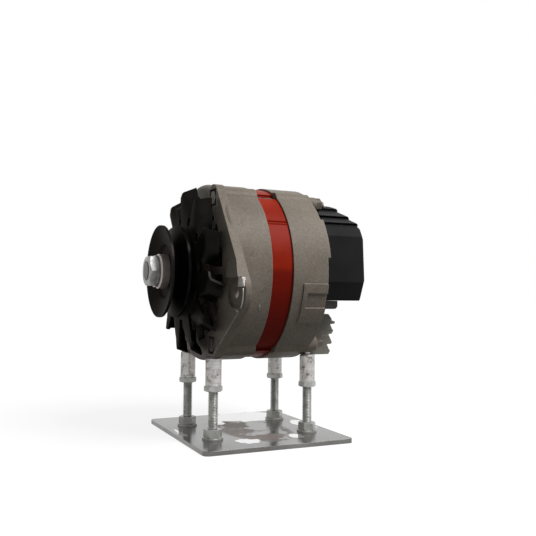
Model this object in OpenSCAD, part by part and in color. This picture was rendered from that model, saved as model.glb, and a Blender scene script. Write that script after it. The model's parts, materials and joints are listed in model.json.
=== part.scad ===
// Belt-driven alternator on a four-legged display stand, as an assembly of separate pieces.
// Millimetres. The origin is the centre of the stand plate's underside, +Z is up, the shaft lies
// along Y with the pulley toward -Y and the rear cover toward +Y, and +X is the adjusting-ear side.

/* [Stand] */
// Width of the stand plate, along X
plate_w = 148; // [120:1:200]
// Depth of the stand plate, along Y
plate_d = 128; // [110:1:180]
// Thickness of the stand plate
plate_t = 3.5; // [2:0.5:8]
// Radius of the stand plate's corners
plate_corner_r = 5; // [1:1:12]
// Half the distance between the legs, along X
leg_x = 32; // [30:0.5:36]
// Place of the two front legs, along Y
leg_front_y = -42; // [-42:0.5:-30]
// Place of the two rear legs, along Y
leg_rear_y = 43; // [28:0.5:43]
// Diameter of the threaded leg rods
rod_d = 8; // [6:1:8]
// Width across flats of the leg nuts
leg_nut_af = 13; // [12:0.5:15]
// Height of the nut on the plate
base_nut_h = 6.5; // [4:0.5:8]
// Height of the lock nut under each sleeve
lock_nut_h = 4.5; // [3:0.5:6]
// Diameter of the washer under each base nut
leg_washer_d = 17; // [16:0.5:20]
// Thickness of the washer under each base nut
leg_washer_t = 1.6; // [1:0.2:2.4]
// Diameter of the leg sleeves
sleeve_d = 13; // [12:0.5:15]
// Length of the leg sleeves
sleeve_len = 23; // [20:0.5:30]
// Height of the sleeves' top above the table, where the alternator's feet rest
foot_z = 69; // [66:0.5:80]
// Depth of the threaded hole in each sleeve
sleeve_bore_len = 20; // [19:0.5:22]
// Length of rod inside each sleeve at the middle height
rod_grip = 13; // [11:0.5:13]

/* [Housing] */
// Height of the feet's flats above the brackets' lowest line
foot_inset = 5.5; // [4:0.5:6]
// Outer radius of the front and rear brackets
body_r = 74; // [73:0.5:76]
// Depth of the stator core's outside below the brackets'
core_inset = 3; // [3:0.5:4]
// Wall of the brackets' rims
rim_t = 5.5; // [5:0.5:6]
// Front plane of the front bracket's face
face_y = -45; // [-46:0.5:-44]
// Rear rim of the front bracket
front_rim_y = -10; // [-14:0.5:-8]
// Front rim of the rear bracket
rear_rim_y = 8.5; // [6:0.5:12]
// Rear plane of the rear bracket
rear_y = 39.5; // [39:0.5:40.5]
// Length of stator core held inside each bracket
core_grip = 9; // [7:0.5:10]
// Thickness of the brackets' end walls
wall_t = 4.5; // [3.5:0.5:5]
// Rounding of the front bracket's front edge
front_edge_r = 5; // [3:0.5:6]
// Number of cooling windows in each bracket's end wall
window_count = 16; // [16:2:20]
// Width of the spokes between the windows
spoke_w = 6; // [5:0.5:7]
// Inner radius of the front windows
front_window_r = 33; // [32:0.5:36]
// Inner radius of the rear windows
rear_window_r = 26; // [25:0.5:28]
// Distance from the windows to the brackets' outside
window_inset = 17; // [16:0.5:22]
// Radius of the front bearing hub
front_hub_r = 29; // [28:0.5:30]
// Radius of the rear bearing hub
rear_hub_r = 20; // [19:0.5:20]

/* [Lugs and bolts] */
// Depth of the through-bolts' axes below the brackets' outside
bolt_inset = 5.9; // [5.5:0.1:6.3]
// Angle of the through-bolts' places, from the middle height
bolt_angle = 60; // [59:0.5:61]
// Diameter of the through-bolts
bolt_d = 6; // [5:0.5:6]
// Width across flats of the through-bolts' heads and nuts
bolt_af = 10; // [8:0.5:10]
// Height of the through-bolts' heads and nuts
bolt_head_h = 4; // [3:0.5:5]
// Radius of the front bracket's through-bolt bosses
front_boss_r = 9.5; // [9:0.5:9.5]
// Radius of the rear bracket's through-bolt bosses
rear_boss_r = 8; // [7.5:0.5:9]
// Rear end of the rear through-bolt bosses
boss_end_y = 47; // [45:0.5:48]
// Thickness of the flange plate with the ears
flange_t = 7; // [6:0.5:9]
// Distance of the ears' holes outside the brackets
ear_reach = 6; // [4:0.5:10]
// Place of the ears below the shaft
ear_drop = 17; // [14:0.5:20]
// Radius of the adjusting ear's nose
ear_r = 18; // [16:0.5:20]
// Diameter of the adjusting ear's hole
ear_hole_d = 9; // [8:0.5:10.5]
// Depth of the recess round the adjusting hole
ear_recess = 2.5; // [1.5:0.5:3]
// Width of the recess round the adjusting hole
ear_recess_w = 23; // [20:0.5:26]
// Radius of the pivot lug
pivot_r = 15; // [13:0.5:16]
// Length of the pivot lug
pivot_len = 27; // [20:0.5:32]
// Bore of the pivot bush
pivot_bore_d = 10.2; // [8.4:0.1:10.4]
// Outer diameter of the pivot bush
pivot_bush_d = 14; // [13:0.5:16]

/* [Pulley and fan] */
// Outer radius of the pulley
pulley_r = 38; // [34:0.5:42]
// Middle plane of the belt groove
groove_y = -71.2; // [-72:0.1:-70]
// Half the width over the pulley's rims
pulley_half_w = 8; // [7:0.5:9]
// Half the width of the belt groove at its mouth
groove_half_w = 5.8; // [5:0.1:6.5]
// Radius of the groove's bottom
groove_r = 23.5; // [20:0.5:26]
// Thickness of the pressed pulley and fan sheet
sheet_t = 2.2; // [1.8:0.1:2.4]
// Radius of the collar in front of the pulley
collar_r = 14.3; // [13:0.1:16]
// Length of the collar in front of the pulley
collar_len = 7.4; // [6:0.1:9]
// Thickness of the pulley's lock washer
lock_washer_t = 2; // [1.5:0.1:3]
// Length of the pulley nut
pulley_nut_h = 6.7; // [5:0.1:10]
// Width across flats of the pulley nut
pulley_nut_af = 24; // [22:1:27]
// Outer radius of the fan
fan_r = 67; // [62:0.5:67.5]
// Front plane of the fan's disc
fan_y = -59.2; // [-59.6:0.2:-58]
// Rear edge of the fan's vanes
vane_end_y = -46.5; // [-50:0.5:-46.5]
// Number of fan blades
blade_count = 12; // [10:1:12]
// Lean of the fan's vanes from the shaft's direction
vane_lean = 40; // [30:5:50]
// Radius of the fan's solid middle
fan_hub_r = 40; // [34:0.5:42]
// Rounding of the blades' free corners
blade_corner_r = 5; // [3:0.5:6]

/* [Shaft and bearings] */
// Diameter of the shaft at the front bearing, fan and pulley
shaft_d = 17; // [16.5:0.1:17]
// Diameter of the shaft's threaded end
thread_d = 16; // [14:0.5:16]
// Diameter of the shaft inside the rotor
rotor_shaft_d = 18; // [17.5:0.5:19]
// Diameter of the shaft at the rear bearing
rear_shaft_d = 15; // [14.5:0.1:15]
// Diameter of the shaft under the slip rings
slip_shaft_d = 14; // [12:0.5:14]
// Outer diameter of the front bearing
front_bearing_d = 47; // [46.5:0.1:48]
// Width of the front bearing
front_bearing_w = 14; // [13:0.5:14]
// Front face of the front bearing
front_bearing_y = -49.5; // [-50:0.1:-49.5]
// Outer diameter of the rear bearing
rear_bearing_d = 35; // [34.5:0.1:36]
// Width of the rear bearing
rear_bearing_w = 11; // [10:0.5:11]
// Front face of the rear bearing
rear_bearing_y = 36.5; // [36:0.1:37]
// Number of balls in each bearing
ball_count = 8; // [7:1:8]
// Diameter of the front bearing's balls
front_ball_d = 7.9; // [7:0.1:8]
// Diameter of the rear bearing's balls
rear_ball_d = 6; // [5.4:0.1:6]

/* [Rotor and stator] */
// Depth of the stator core, along its radius
core_depth = 21; // [20:0.1:21]
// Gap between the claw poles and the stator core
air_gap = 0.5; // [0.4:0.1:1]
// Front end of the rotor
rotor_front_y = -24; // [-25:0.5:-23]
// Rear end of the rotor
rotor_rear_y = 22; // [21:0.5:23]
// Thickness of the claw poles' end discs
pole_disc_t = 12; // [10:0.5:13]
// Number of claws on each pole
claw_count = 6; // [6:1:6]
// Width of a claw at its root, as a share of the rotor's radius
claw_root_share = 0.565; // [0.53:0.005:0.565]
// Width of a claw at its tip, as a share of the rotor's radius
claw_tip_share = 0.2; // [0.16:0.01:0.21]
// Radius of the field coil, as a share of the rotor's
coil_share = 0.717; // [0.68:0.001:0.727]
// Number of stator slots
slot_count = 36; // [36:1:36]
// Width of a stator slot
slot_w = 5; // [4:0.1:5.4]
// Depth of the stator slots, from the bore
slot_depth = 11; // [8:0.5:11.5]
// Length of the stator's end turns beyond the core
end_turn_len = 12; // [9:0.5:13]
// Height of the weld seams along the core's outside
seam_h = 0.7; // [0.4:0.1:1.2]
// Number of weld seams round the core
seam_count = 14; // [10:1:16]

/* [Cover and electrics] */
// Distance of the rear cover's sides inside the brackets' outside
cover_inset = 5; // [4:0.5:6]
// Height that the rear cover's top is flattened by
cover_top_drop = 6; // [5.5:0.5:7]
// Rear plane of the rear cover
cover_end_y = 80; // [78:0.5:84]
// Flat bottom of the rear cover, below the shaft
cover_drop = 23; // [22.5:0.5:25]
// Wall of the rear cover
cover_t = 2.5; // [2:0.1:2.8]
// Rounding of the rear cover's rear edge
cover_edge_r = 1.6; // [0.8:0.1:2]
// Radius of the slip rings
slip_ring_r = 14; // [13:0.1:14]
// Width of each slip ring
slip_ring_w = 6.5; // [5.5:0.1:6.8]
// Middle plane of the front slip ring
slip_front_y = 54.9; // [54.8:0.1:55.2]
// Middle plane of the rear slip ring
slip_rear_y = 63.1; // [62.8:0.1:63.4]
// Thickness of a brush, along the shaft
brush_t = 4.8; // [4:0.1:5.2]
// Width of a brush, across the shaft
brush_w = 6.2; // [5.4:0.1:6.8]
// Length of a brush
brush_len = 16; // [14:0.5:17]
// Travel of a brush away from its ring
brush_travel = 4.5; // [3:0.5:5]
// Width of the heat sink outside its screws
sink_side = 4.7; // [3.7:0.1:4.7]
// Top of the heat sink, below the shaft
sink_top = 35; // [34:0.5:37]
// Height of the heat sink
sink_h = 35; // [34:0.5:36]
// Rear reach of the heat sink's fins
sink_end_y = 74; // [72:0.5:76]
// Depth of the heat sink's fins
fin_depth = 4.5; // [3:0.5:6]
// Number of fins on the heat sink
fin_count = 4; // [3:1:5]
// Radius of a rectifier diode's body
diode_r = 6.35; // [5.8:0.05:6.4]
// Diameter of the output stud
output_stud_d = 6; // [5:0.5:6]

/* [Hidden] */
$fn = 64;

// Radii that follow the body's
core_r = body_r - core_inset;
cavity_r = body_r - rim_t;
foot_drop = body_r - foot_inset;
window_outer_r = body_r - window_inset;
bolt_x = (body_r - bolt_inset) * cos(bolt_angle);
bolt_z = (body_r - bolt_inset) * sin(bolt_angle);
ear_x = body_r + ear_reach;
stator_bore_r = core_r - core_depth;
slot_outer_r = stator_bore_r + slot_depth;
rotor_r = stator_bore_r - air_gap;
coil_r = rotor_r * coil_share;
pole_core_r = rotor_r * 0.445;
claw_root_w = rotor_r * claw_root_share;
claw_tip_w = rotor_r * claw_tip_share;
cover_r = body_r - cover_inset;
cover_top_r = cover_r - cover_top_drop;

// Clearances: a close fit, a free fit and the height of a brush above its ring
fit = 0.03;
free_fit = 0.3;
brush_gap = 0.05;

// Heights
shaft_z = foot_z + foot_drop;
sleeve_z = foot_z - sleeve_len;
rod_top_z = sleeve_z + rod_grip;
leg_places = [for (x = [-leg_x, leg_x], y = [leg_front_y, leg_rear_y]) [x, y]];
foot_stud_r = 2.5;
foot_stud_len = 2.2;

// Planes along the shaft
core_front_y = front_rim_y - core_grip;
core_rear_y = rear_rim_y + core_grip;
front_wall_y = face_y + wall_t;
rear_wall_y = rear_y - wall_t;
front_hub_y = front_bearing_y - 1.5;
front_bearing_end = front_bearing_y + front_bearing_w;
rear_bearing_end = rear_bearing_y + rear_bearing_w;
rear_hub_y = rear_bearing_end + 1.5;
bolt_seat_y = face_y + bolt_head_h;
nut_end_y = boss_end_y + bolt_head_h + 1.5;
bolt_tip_y = nut_end_y + 3;
pulley_front_y = groove_y - sheet_t;
pulley_back_y = groove_y + sheet_t;
collar_y = pulley_front_y - collar_len;
washer_y = collar_y - lock_washer_t;
pulley_nut_y = washer_y - pulley_nut_h;
shaft_front_y = pulley_nut_y - 0.5;
fan_back_y = fan_y + sheet_t;
retainer_t = 2;
bend_r = 4;
fold_start_in = 7;
fold_start = (fan_hub_r + 4) * [cos(50), sin(50)];
fold_turn = 78.7;
free_turn = 37;
bolt_places = [for (x = [-bolt_x, bolt_x], z = [-bolt_z, bolt_z]) [x, z]];
spoke_step = 360 / window_count;
slot_step = 360 / slot_count;
seam_step = 360 / seam_count;

// Radii on the shaft
shaft_r = shaft_d / 2;
thread_r = thread_d / 2;
rotor_shaft_r = rotor_shaft_d / 2;
rear_shaft_r = rear_shaft_d / 2;
slip_shaft_r = slip_shaft_d / 2;
front_pitch_r = (shaft_r + front_bearing_d / 2) / 2;
rear_pitch_r = (rear_shaft_r + rear_bearing_d / 2) / 2;
retainer_screw_r = 26.2;
retainer_screw_d = 3.4;

// Key
key_w = 4;
key_bottom = shaft_r - 2.4;
key_top = shaft_r + 2;
key_y0 = groove_y - 1.5;
key_y1 = groove_y + 10;

// Ears
ear_place = [ear_x, -ear_drop];
pivot_place = [-ear_x, -ear_drop];
flange_y = face_y + flange_t;
flange_boss_r = 11;
lip_h = 2.2;
lip_z = ear_recess_w / 2 - ear_drop - 0.5;

// Rear cover studs, on spokes of the rear wall
stud_d = 5;
stud_circle_r = window_outer_r - 8;
stud_places = [for (a = [spoke_step, 180 - spoke_step]) stud_circle_r * [cos(a), sin(a)]];
low_stud_place = 29 * [cos(spoke_step), -sin(spoke_step)];
stud_nut_af = 8;
stud_nut_h = 4;
stud_seat_y = cover_end_y - 6;

// Heat sink
sink_y = rear_y + 3;
sink_bottom = sink_top + sink_h;
fin_step = sink_h / fin_count;
sink_hole_half_w = 15.5;
sink_hole_y = sink_end_y - 16;
fin_lean = 1.6;
sink_screw_angle = -3 * spoke_step;
sink_screw_circle_r = window_outer_r - 1.3;
sink_half_w = sink_screw_circle_r * cos(sink_screw_angle) + sink_side;
sink_screw_places = [for (s = [-1, 1])
    sink_screw_circle_r * [s * cos(sink_screw_angle), sin(sink_screw_angle)]];
sink_head_y = sink_end_y - 13;
diode_places = [[-8.5, -sink_top - 12.5], [8.5, -sink_top - 12.5], [0, -sink_top - 23.5]];
negative_places = [for (k = [5, 6, 7]) (window_outer_r - 14) * [cos((k + 0.5) * spoke_step), sin((k + 0.5) * spoke_step)]];
output_place = [-20, -sink_top - 6.5];
output_seat_y = sink_end_y - 2;
output_root_r = 3.3;
output_nut_h = 5;
output_nut_af = 11;

// Terminal block, under the cover
block_x0 = 18;
block_x1 = 44;
block_len = 26;
block_corner_r = 3.2;

// Brush gear, above the slip rings
brush_z = slip_ring_r + brush_gap;
holder_half_w = 8;
holder_z = slip_ring_r + 2.5;
holder_top_z = brush_z + brush_len + 12;
holder_y = rear_hub_y;
holder_end_y = slip_rear_y + slip_ring_w / 2 + 2;
holder_lug_t = 4;
holder_post_r = 3.4;
holder_screw_places = [for (a = [3 * spoke_step, 180 - 3 * spoke_step]) 28 * [cos(a), sin(a)]];
spring_top_z = brush_z + brush_len + 9;
spring_r = 1.9;
spring_wire_r = 0.3;
spring_turns = 6;

// An extrusion along the shaft from y0 to y1 of shapes drawn in X and height above the shaft
module slab(y0, y1) {
    translate([0, y1, shaft_z]) rotate([90, 0, 0]) linear_extrude(y1 - y0) children();
}

// A body of revolution about the shaft, its profile drawn in radius and Y
module revolved() {
    translate([0, 0, shaft_z]) rotate([90, 0, 0]) rotate_extrude() mirror([0, 1]) children();
}

// A hollow cylinder about the shaft
module tube(outer_r, inner_r, y0, y1) {
    slab(y0, y1) difference() {
        circle(outer_r);
        circle(inner_r);
    }
}

// A hexagon by its width across flats, one corner toward +X
module hexagon(across_flats) {
    circle(across_flats / 2 / cos(30), $fn = 6);
}

// A cylinder along the shaft at a place across it
module pin_at(place, radius, y0, y1) {
    slab(y0, y1) translate(place) circle(radius);
}

// Two circles with the band that all but touches both
module link(a, radius_a, b, radius_b) {
    span = norm(b - a);
    heading = atan2(b[1] - a[1], b[0] - a[0]);
    spread = acos((radius_a - radius_b) / span);
    sunk = 0.02;
    translate(a) circle(radius_a);
    translate(b) circle(radius_b);
    polygon([
        a + (radius_a - sunk) * [cos(heading + spread), sin(heading + spread)],
        b + (radius_b - sunk) * [cos(heading + spread), sin(heading + spread)],
        b + (radius_b - sunk) * [cos(heading - spread), sin(heading - spread)],
        a + (radius_a - sunk) * [cos(heading - spread), sin(heading - spread)]]);
}

// A sector of a disc between two angles
module sector(radius, from, to) {
    reach = radius / cos((to - from) / 4) + 1;
    intersection() {
        circle(radius);
        polygon([[0, 0], reach * [cos(from), sin(from)],
            reach * [cos((from + to) / 2), sin((from + to) / 2)], reach * [cos(to), sin(to)]]);
    }
}

// The part of the plane on the near side of a line: its normal's angle and its distance
module half_plane(angle, distance) {
    rotate(angle) translate([distance - 400, -200]) square([400, 400]);
}

// A wire through given points
module wire(points, radius) {
    for (i = [0 : len(points) - 2]) {
        step = points[i + 1] - points[i];
        translate(points[i])
            rotate([0, acos(step[2] / norm(step)), atan2(step[1], step[0])])
                cylinder(r = radius, h = norm(step), $fn = 24);
        if (i > 0) translate(points[i]) sphere(radius, $fn = 24);
    }
}

// Stand
module at_legs() {
    for (place = leg_places) translate(place) children();
}

module leg_nut(height) {
    difference() {
        intersection() {
            linear_extrude(height) rotate(15) hexagon(leg_nut_af);
            rotate_extrude() polygon([[0, 0], [leg_nut_af / 2, 0], [leg_nut_af, leg_nut_af / 3.5],
                [leg_nut_af, height - leg_nut_af / 3.5], [leg_nut_af / 2, height], [0, height]]);
        }
        translate([0, 0, -1]) cylinder(d = rod_d + 2 * fit, h = height + 2);
    }
}

module stand_plate() {
    color("silver") difference() {
        linear_extrude(plate_t) union() {
            square([plate_w - 2 * plate_corner_r, plate_d], center = true);
            square([plate_w, plate_d - 2 * plate_corner_r], center = true);
            for (x = [-1, 1], y = [-1, 1])
                translate([x * (plate_w / 2 - plate_corner_r), y * (plate_d / 2 - plate_corner_r)])
                    circle(plate_corner_r);
        }
        at_legs() translate([0, 0, -1]) cylinder(d = rod_d + 2 * fit, h = plate_t + 2);
    }
}

module leg_rods() {
    chamfer = 0.8;
    bottom_z = 0.2;
    color("darkgray") at_legs() rotate_extrude() polygon([
        [0, bottom_z], [rod_d / 2 - chamfer, bottom_z], [rod_d / 2, bottom_z + chamfer],
        [rod_d / 2, rod_top_z - chamfer], [rod_d / 2 - chamfer, rod_top_z], [0, rod_top_z]]);
}

module leg_washers() {
    color("silver") at_legs() translate([0, 0, plate_t]) difference() {
        cylinder(d = leg_washer_d, h = leg_washer_t);
        translate([0, 0, -1]) cylinder(d = rod_d + 2 * free_fit, h = leg_washer_t + 2);
    }
}

module leg_base_nuts() {
    color("silver") at_legs() translate([0, 0, plate_t + leg_washer_t]) leg_nut(base_nut_h);
}

module leg_lock_nuts() {
    color("silver") at_legs() translate([0, 0, sleeve_z - lock_nut_h]) leg_nut(lock_nut_h);
}

module leg_sleeves() {
    chamfer = 1.5;
    color("gainsboro") at_legs() difference() {
        rotate_extrude() polygon([
            [0, sleeve_z], [sleeve_d / 2, sleeve_z], [sleeve_d / 2, foot_z - chamfer],
            [sleeve_d / 2 - chamfer, foot_z], [foot_stud_r, foot_z],
            [foot_stud_r, foot_z + foot_stud_len], [0, foot_z + foot_stud_len]]);
        translate([0, 0, sleeve_z - 1]) cylinder(d = rod_d + 2 * fit, h = sleeve_bore_len + 1);
    }
}

// Brackets
module windows(inner_r, y0, y1, solid = []) {
    slab(y0, y1) difference() {
        circle(window_outer_r);
        circle(inner_r);
        for (k = [0 : window_count / 2 - 1])
            rotate(k * spoke_step) square([4 * body_r, spoke_w], center = true);
        for (k = solid) sector(2 * body_r, k * spoke_step - 1, (k + 1) * spoke_step + 1);
    }
}

module foot_holes() {
    at_legs() translate([0, 0, foot_z - 1]) cylinder(r = foot_stud_r + fit, h = foot_stud_len + 1.3);
}

module flange_outline() {
    circle(body_r - front_edge_r - 2);
    for (side = [-1, 1], end = [-1, 1])
        link([side * bolt_x, end * bolt_z], flange_boss_r,
            side > 0 ? ear_place : pivot_place, side > 0 ? ear_r : pivot_r);
    polygon([ear_place, [bolt_x, bolt_z], [-bolt_x, bolt_z], pivot_place,
        [-bolt_x, -bolt_z], [bolt_x, -bolt_z]]);
}

module front_bracket() {
    color("tan") difference() {
        union() {
            revolved() {
                polygon([[0, face_y], [body_r - front_edge_r, face_y], [body_r - front_edge_r, face_y + 1],
                    [body_r, face_y + front_edge_r], [body_r, front_rim_y], [0, front_rim_y]]);
                translate([body_r - front_edge_r, face_y + front_edge_r]) circle(front_edge_r);
            }
            tube(front_hub_r, shaft_r, front_hub_y, face_y + 1);
            slab(face_y, flange_y) flange_outline();
            for (place = bolt_places) pin_at(place, front_boss_r, face_y + 2, front_rim_y);
            // Raised lip over the ear's recess
            intersection() {
                slab(face_y - lip_h, face_y + 1) flange_outline();
                translate([ear_x - 10, 0, shaft_z]) rotate([90, 0, 90]) linear_extrude(2 * ear_r)
                    polygon([[face_y + 2, lip_z], [face_y - lip_h, lip_z], [face_y - lip_h, lip_z + 2],
                        [face_y, lip_z + 13], [face_y + 2, lip_z + 13]]);
            }
            pin_at(pivot_place, pivot_r, face_y, face_y + pivot_len);
            slab(face_y + 1, face_y + pivot_len - 4)
                translate([-ear_x, -ear_drop - 4]) square([ear_x - cavity_r + 3, 8]);
        }
        // Cavity with the bolt bosses left standing in it
        difference() {
            slab(front_wall_y, front_rim_y + 1) circle(cavity_r);
            for (place = bolt_places) pin_at(place, 6, face_y, core_front_y);
            tube(front_hub_r + 2, 1, face_y, front_bearing_end);
        }
        slab(core_front_y, front_rim_y + 1) circle(core_r + fit);
        windows(front_window_r, face_y - 1, front_wall_y + 1);
        // Bearing seat with a lip at its front
        slab(front_bearing_y, front_bearing_end + 1) circle(front_bearing_d / 2 + fit);
        slab(front_hub_y - 1, front_bearing_y + 1) circle(front_bearing_d / 2 - 3);
        // Machined grooves round the hub
        for (k = [0 : 1]) tube(front_hub_r + 1, front_hub_r - 0.8, front_hub_y + 1.6 + 2 * k, front_hub_y + 2.4 + 2 * k);
        for (a = [45 : 90 : 315]) pin_at(retainer_screw_r * [cos(a), sin(a)],
            retainer_screw_d / 2 + fit, front_bearing_end - 8, front_bearing_end + 1);
        for (place = bolt_places) {
            pin_at(place, bolt_d / 2 + free_fit, face_y - 1, front_rim_y + 1);
            slab(face_y - 1, bolt_seat_y) translate(place) square([14, 14], center = true);
        }
        // Recess and hole of the adjusting ear
        pin_at(ear_place, ear_hole_d / 2, face_y - 1, flange_y + 1);
        slab(face_y - 1, face_y + ear_recess) translate([ear_x, -ear_drop]) {
            circle(ear_recess_w / 2);
            translate([0, -ear_recess_w / 2]) square([2 * ear_r, ear_recess_w]);
        }
        pin_at(pivot_place, pivot_bush_d / 2 + fit, face_y - 1, face_y + pivot_len + 1);
        foot_flats();
        foot_holes();
    }
}

// Everything of a bracket's bosses that lies below the sleeves' tops
module foot_flats() {
    at_legs() translate([0, 0, foot_z - 10]) cylinder(d = sleeve_d + 3, h = 10);
}

module rear_bracket() {
    ledge_t = 2.6;
    ledge_from = 9;
    ledge_to = 36;
    pad_from = -33;
    pad_to = -7.4;
    pad_h = 1;
    panel_from = -22.9;
    panel_to = -13.3;
    color("tan") difference() {
        union() {
            slab(rear_rim_y, rear_y) circle(body_r);
            for (place = bolt_places) {
                pin_at(place, rear_boss_r, rear_rim_y, rear_y);
                pin_at(place, place[1] > 0 ? 6.2 : rear_boss_r, rear_y - 1, boss_end_y);
            }
            slab(rear_rim_y + 9, rear_y) sector(body_r + pad_h, pad_from, pad_to);
            slab(rear_y - 1, rear_y + ledge_t) difference() {
                sector(body_r, ledge_from, ledge_to);
                circle(cover_r + 0.6);
            }
            tube(rear_hub_r, 1, rear_y - 1, rear_hub_y);
            for (place = holder_screw_places) pin_at(place, holder_post_r, rear_y - 1, rear_hub_y);
        }
        difference() {
            slab(rear_rim_y - 1, rear_wall_y) circle(cavity_r);
            for (place = bolt_places) pin_at(place, 6, core_rear_y, rear_y);
            tube(rear_hub_r, 1, rear_bearing_y, rear_y);
        }
        slab(rear_rim_y - 1, core_rear_y) circle(core_r + fit);
        windows(rear_window_r, rear_wall_y - 1, rear_y + 1, [5, 6, 7]);
        for (place = sink_screw_places) pin_at(place, 2.5 + fit, rear_wall_y - 1, rear_y + 1);
        // Bearing seat with a lip at its rear
        slab(rear_bearing_y - 2, rear_bearing_end) circle(rear_bearing_d / 2 + fit);
        slab(rear_bearing_y, rear_hub_y + 1) circle(rear_bearing_d / 2 - 3);
        for (place = negative_places) pin_at(place, diode_r + fit, rear_wall_y - 1, rear_y + 1);
        for (place = concat(stud_places, [low_stud_place]))
            pin_at(place, stud_d / 2 + fit, rear_wall_y - 1, rear_y + 1);
        for (place = bolt_places)
            pin_at(place, bolt_d / 2 + free_fit, rear_rim_y - 1, boss_end_y + 1);
        // Recessed panel on the pad
        slab(rear_rim_y + 12.5, rear_y + 1) difference() {
            sector(body_r + 5, panel_from, panel_to);
            circle(body_r - 0.6);
        }
        foot_flats();
        foot_holes();
        for (place = holder_screw_places) pin_at(place, 1.5 + fit, rear_y, rear_hub_y + 1);
    }
    // Bosses round the heat sink's screws, in the windows beside their spokes
    color("tan") for (place = sink_screw_places) slab(rear_wall_y, rear_y) difference() {
        translate(place) circle(5.2);
        translate(place) circle(2.5 + fit);
    }
}

// Stator
module stator_core() {
    color("firebrick") difference() {
        union() {
            slab(core_front_y, core_rear_y) circle(core_r);
            slab(front_rim_y + 0.3, rear_rim_y - 0.3) for (k = [0 : seam_count - 1])
                rotate(5.6 + k * seam_step + seam_step / 2) translate([core_r, 0]) circle(seam_h + 0.5, $fn = 24);
        }
        slab(core_front_y - 1, core_rear_y + 1) {
            circle(stator_bore_r);
            for (k = [0 : slot_count - 1]) rotate(k * slot_step) {
                translate([stator_bore_r + 2, -slot_w / 2]) square([slot_outer_r - stator_bore_r - 2, slot_w]);
                translate([stator_bore_r - 2, -slot_w / 4]) square([5, slot_w / 2]);
            }
            for (place = bolt_places) {
                translate(place) circle(bolt_d / 2 + 0.5);
            }
        }
    }
}

module stator_windings() {
    slack = 0.25;
    inner_r = stator_bore_r + 2 + slack;
    outer_r = slot_outer_r - slack;
    bundle_r = 3;
    color("peru") {
        slab(core_front_y - 1, core_rear_y + 1) for (k = [0 : slot_count - 1])
            rotate(k * slot_step) translate([inner_r, -slot_w / 2 + slack]) square([outer_r - inner_r, slot_w - 2 * slack]);
        for (side = [0, 1]) {
            y0 = side == 0 ? core_front_y - end_turn_len : core_rear_y + 0.3;
            revolved() {
                translate([inner_r, y0 + bundle_r]) square([outer_r - inner_r, end_turn_len - 0.3 - 2 * bundle_r]);
                translate([inner_r + bundle_r, y0]) square([outer_r - inner_r - 2 * bundle_r, end_turn_len - 0.3]);
                for (r = [inner_r + bundle_r, outer_r - bundle_r], y = [y0 + bundle_r, y0 + end_turn_len - 0.3 - bundle_r])
                    translate([r, y]) circle(bundle_r);
            }
        }
    }
}

module stator_leads() {
    lead_r = 1;
    start_y = core_rear_y + end_turn_len;
    turn_y = sink_hole_y - 9;
    color("orangered") for (k = [0 : 2]) {
        turn = [-102.4, -77.6, -83.8][k];
        from = (slot_outer_r - 5.2) * [cos(turn), sin(turn)];
        to = diode_places[k];
        wire([[from[0], start_y, shaft_z + from[1]], [from[0], turn_y, shaft_z + from[1]],
            [to[0], turn_y, shaft_z + to[1]]], lead_r);
    }
}

module through_bolts() {
    color("silver") for (place = bolt_places) {
        pin_at(place, bolt_d / 2, bolt_seat_y - 0.5, bolt_tip_y);
        slab(face_y, bolt_seat_y) translate(place) hexagon(bolt_af);
    }
}

module through_bolt_nuts() {
    color("silver") for (place = bolt_places) slab(boss_end_y, nut_end_y) translate(place) difference() {
        rotate(20) hexagon(bolt_af);
        circle(bolt_d / 2 + fit);
    }
}

// Bearings
module bearing_race(outer_r, inner_r, pitch_r, ball_r, y0, width) {
    difference() {
        tube(outer_r, inner_r, y0, y0 + width);
        revolved() translate([pitch_r, y0 + width / 2]) circle(ball_r + 0.04);
    }
}

module bearing_balls(pitch_r, ball_r, y) {
    for (k = [0 : ball_count - 1]) translate([0, y, shaft_z])
        rotate([0, k * 360 / ball_count, 0]) translate([pitch_r, 0, 0]) sphere(ball_r, $fn = 32);
}

module bearing_cage(pitch_r, ball_r, y) {
    difference() {
        tube(pitch_r + 0.8, pitch_r - 0.8, y - ball_r - 1, y + ball_r + 1);
        for (k = [0 : ball_count - 1]) translate([0, y, shaft_z])
            rotate([0, 90 + k * 360 / ball_count, 0]) cylinder(r = ball_r + 0.05, h = pitch_r + ball_r);
    }
}

module front_bearing_outer_ring() {
    color("lightgray") bearing_race(front_bearing_d / 2, front_pitch_r + 2.6, front_pitch_r,
        front_ball_d / 2, front_bearing_y, front_bearing_w);
}

module front_bearing_inner_ring() {
    color("lightgray") bearing_race(front_pitch_r - 2.6, shaft_r + fit, front_pitch_r,
        front_ball_d / 2, front_bearing_y, front_bearing_w);
}

module front_bearing_balls() {
    color("white") bearing_balls(front_pitch_r, front_ball_d / 2, front_bearing_y + front_bearing_w / 2);
}

module front_bearing_cage() {
    color("goldenrod") bearing_cage(front_pitch_r, front_ball_d / 2, front_bearing_y + front_bearing_w / 2);
}

module rear_bearing_outer_ring() {
    color("lightgray") bearing_race(rear_bearing_d / 2, rear_pitch_r + 1.9, rear_pitch_r,
        rear_ball_d / 2, rear_bearing_y, rear_bearing_w);
}

module rear_bearing_inner_ring() {
    color("lightgray") bearing_race(rear_pitch_r - 1.9, rear_shaft_r + fit, rear_pitch_r,
        rear_ball_d / 2, rear_bearing_y, rear_bearing_w);
}

module rear_bearing_balls() {
    color("white") bearing_balls(rear_pitch_r, rear_ball_d / 2, rear_bearing_y + rear_bearing_w / 2);
}

module rear_bearing_cage() {
    color("goldenrod") bearing_cage(rear_pitch_r, rear_ball_d / 2, rear_bearing_y + rear_bearing_w / 2);
}

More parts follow.
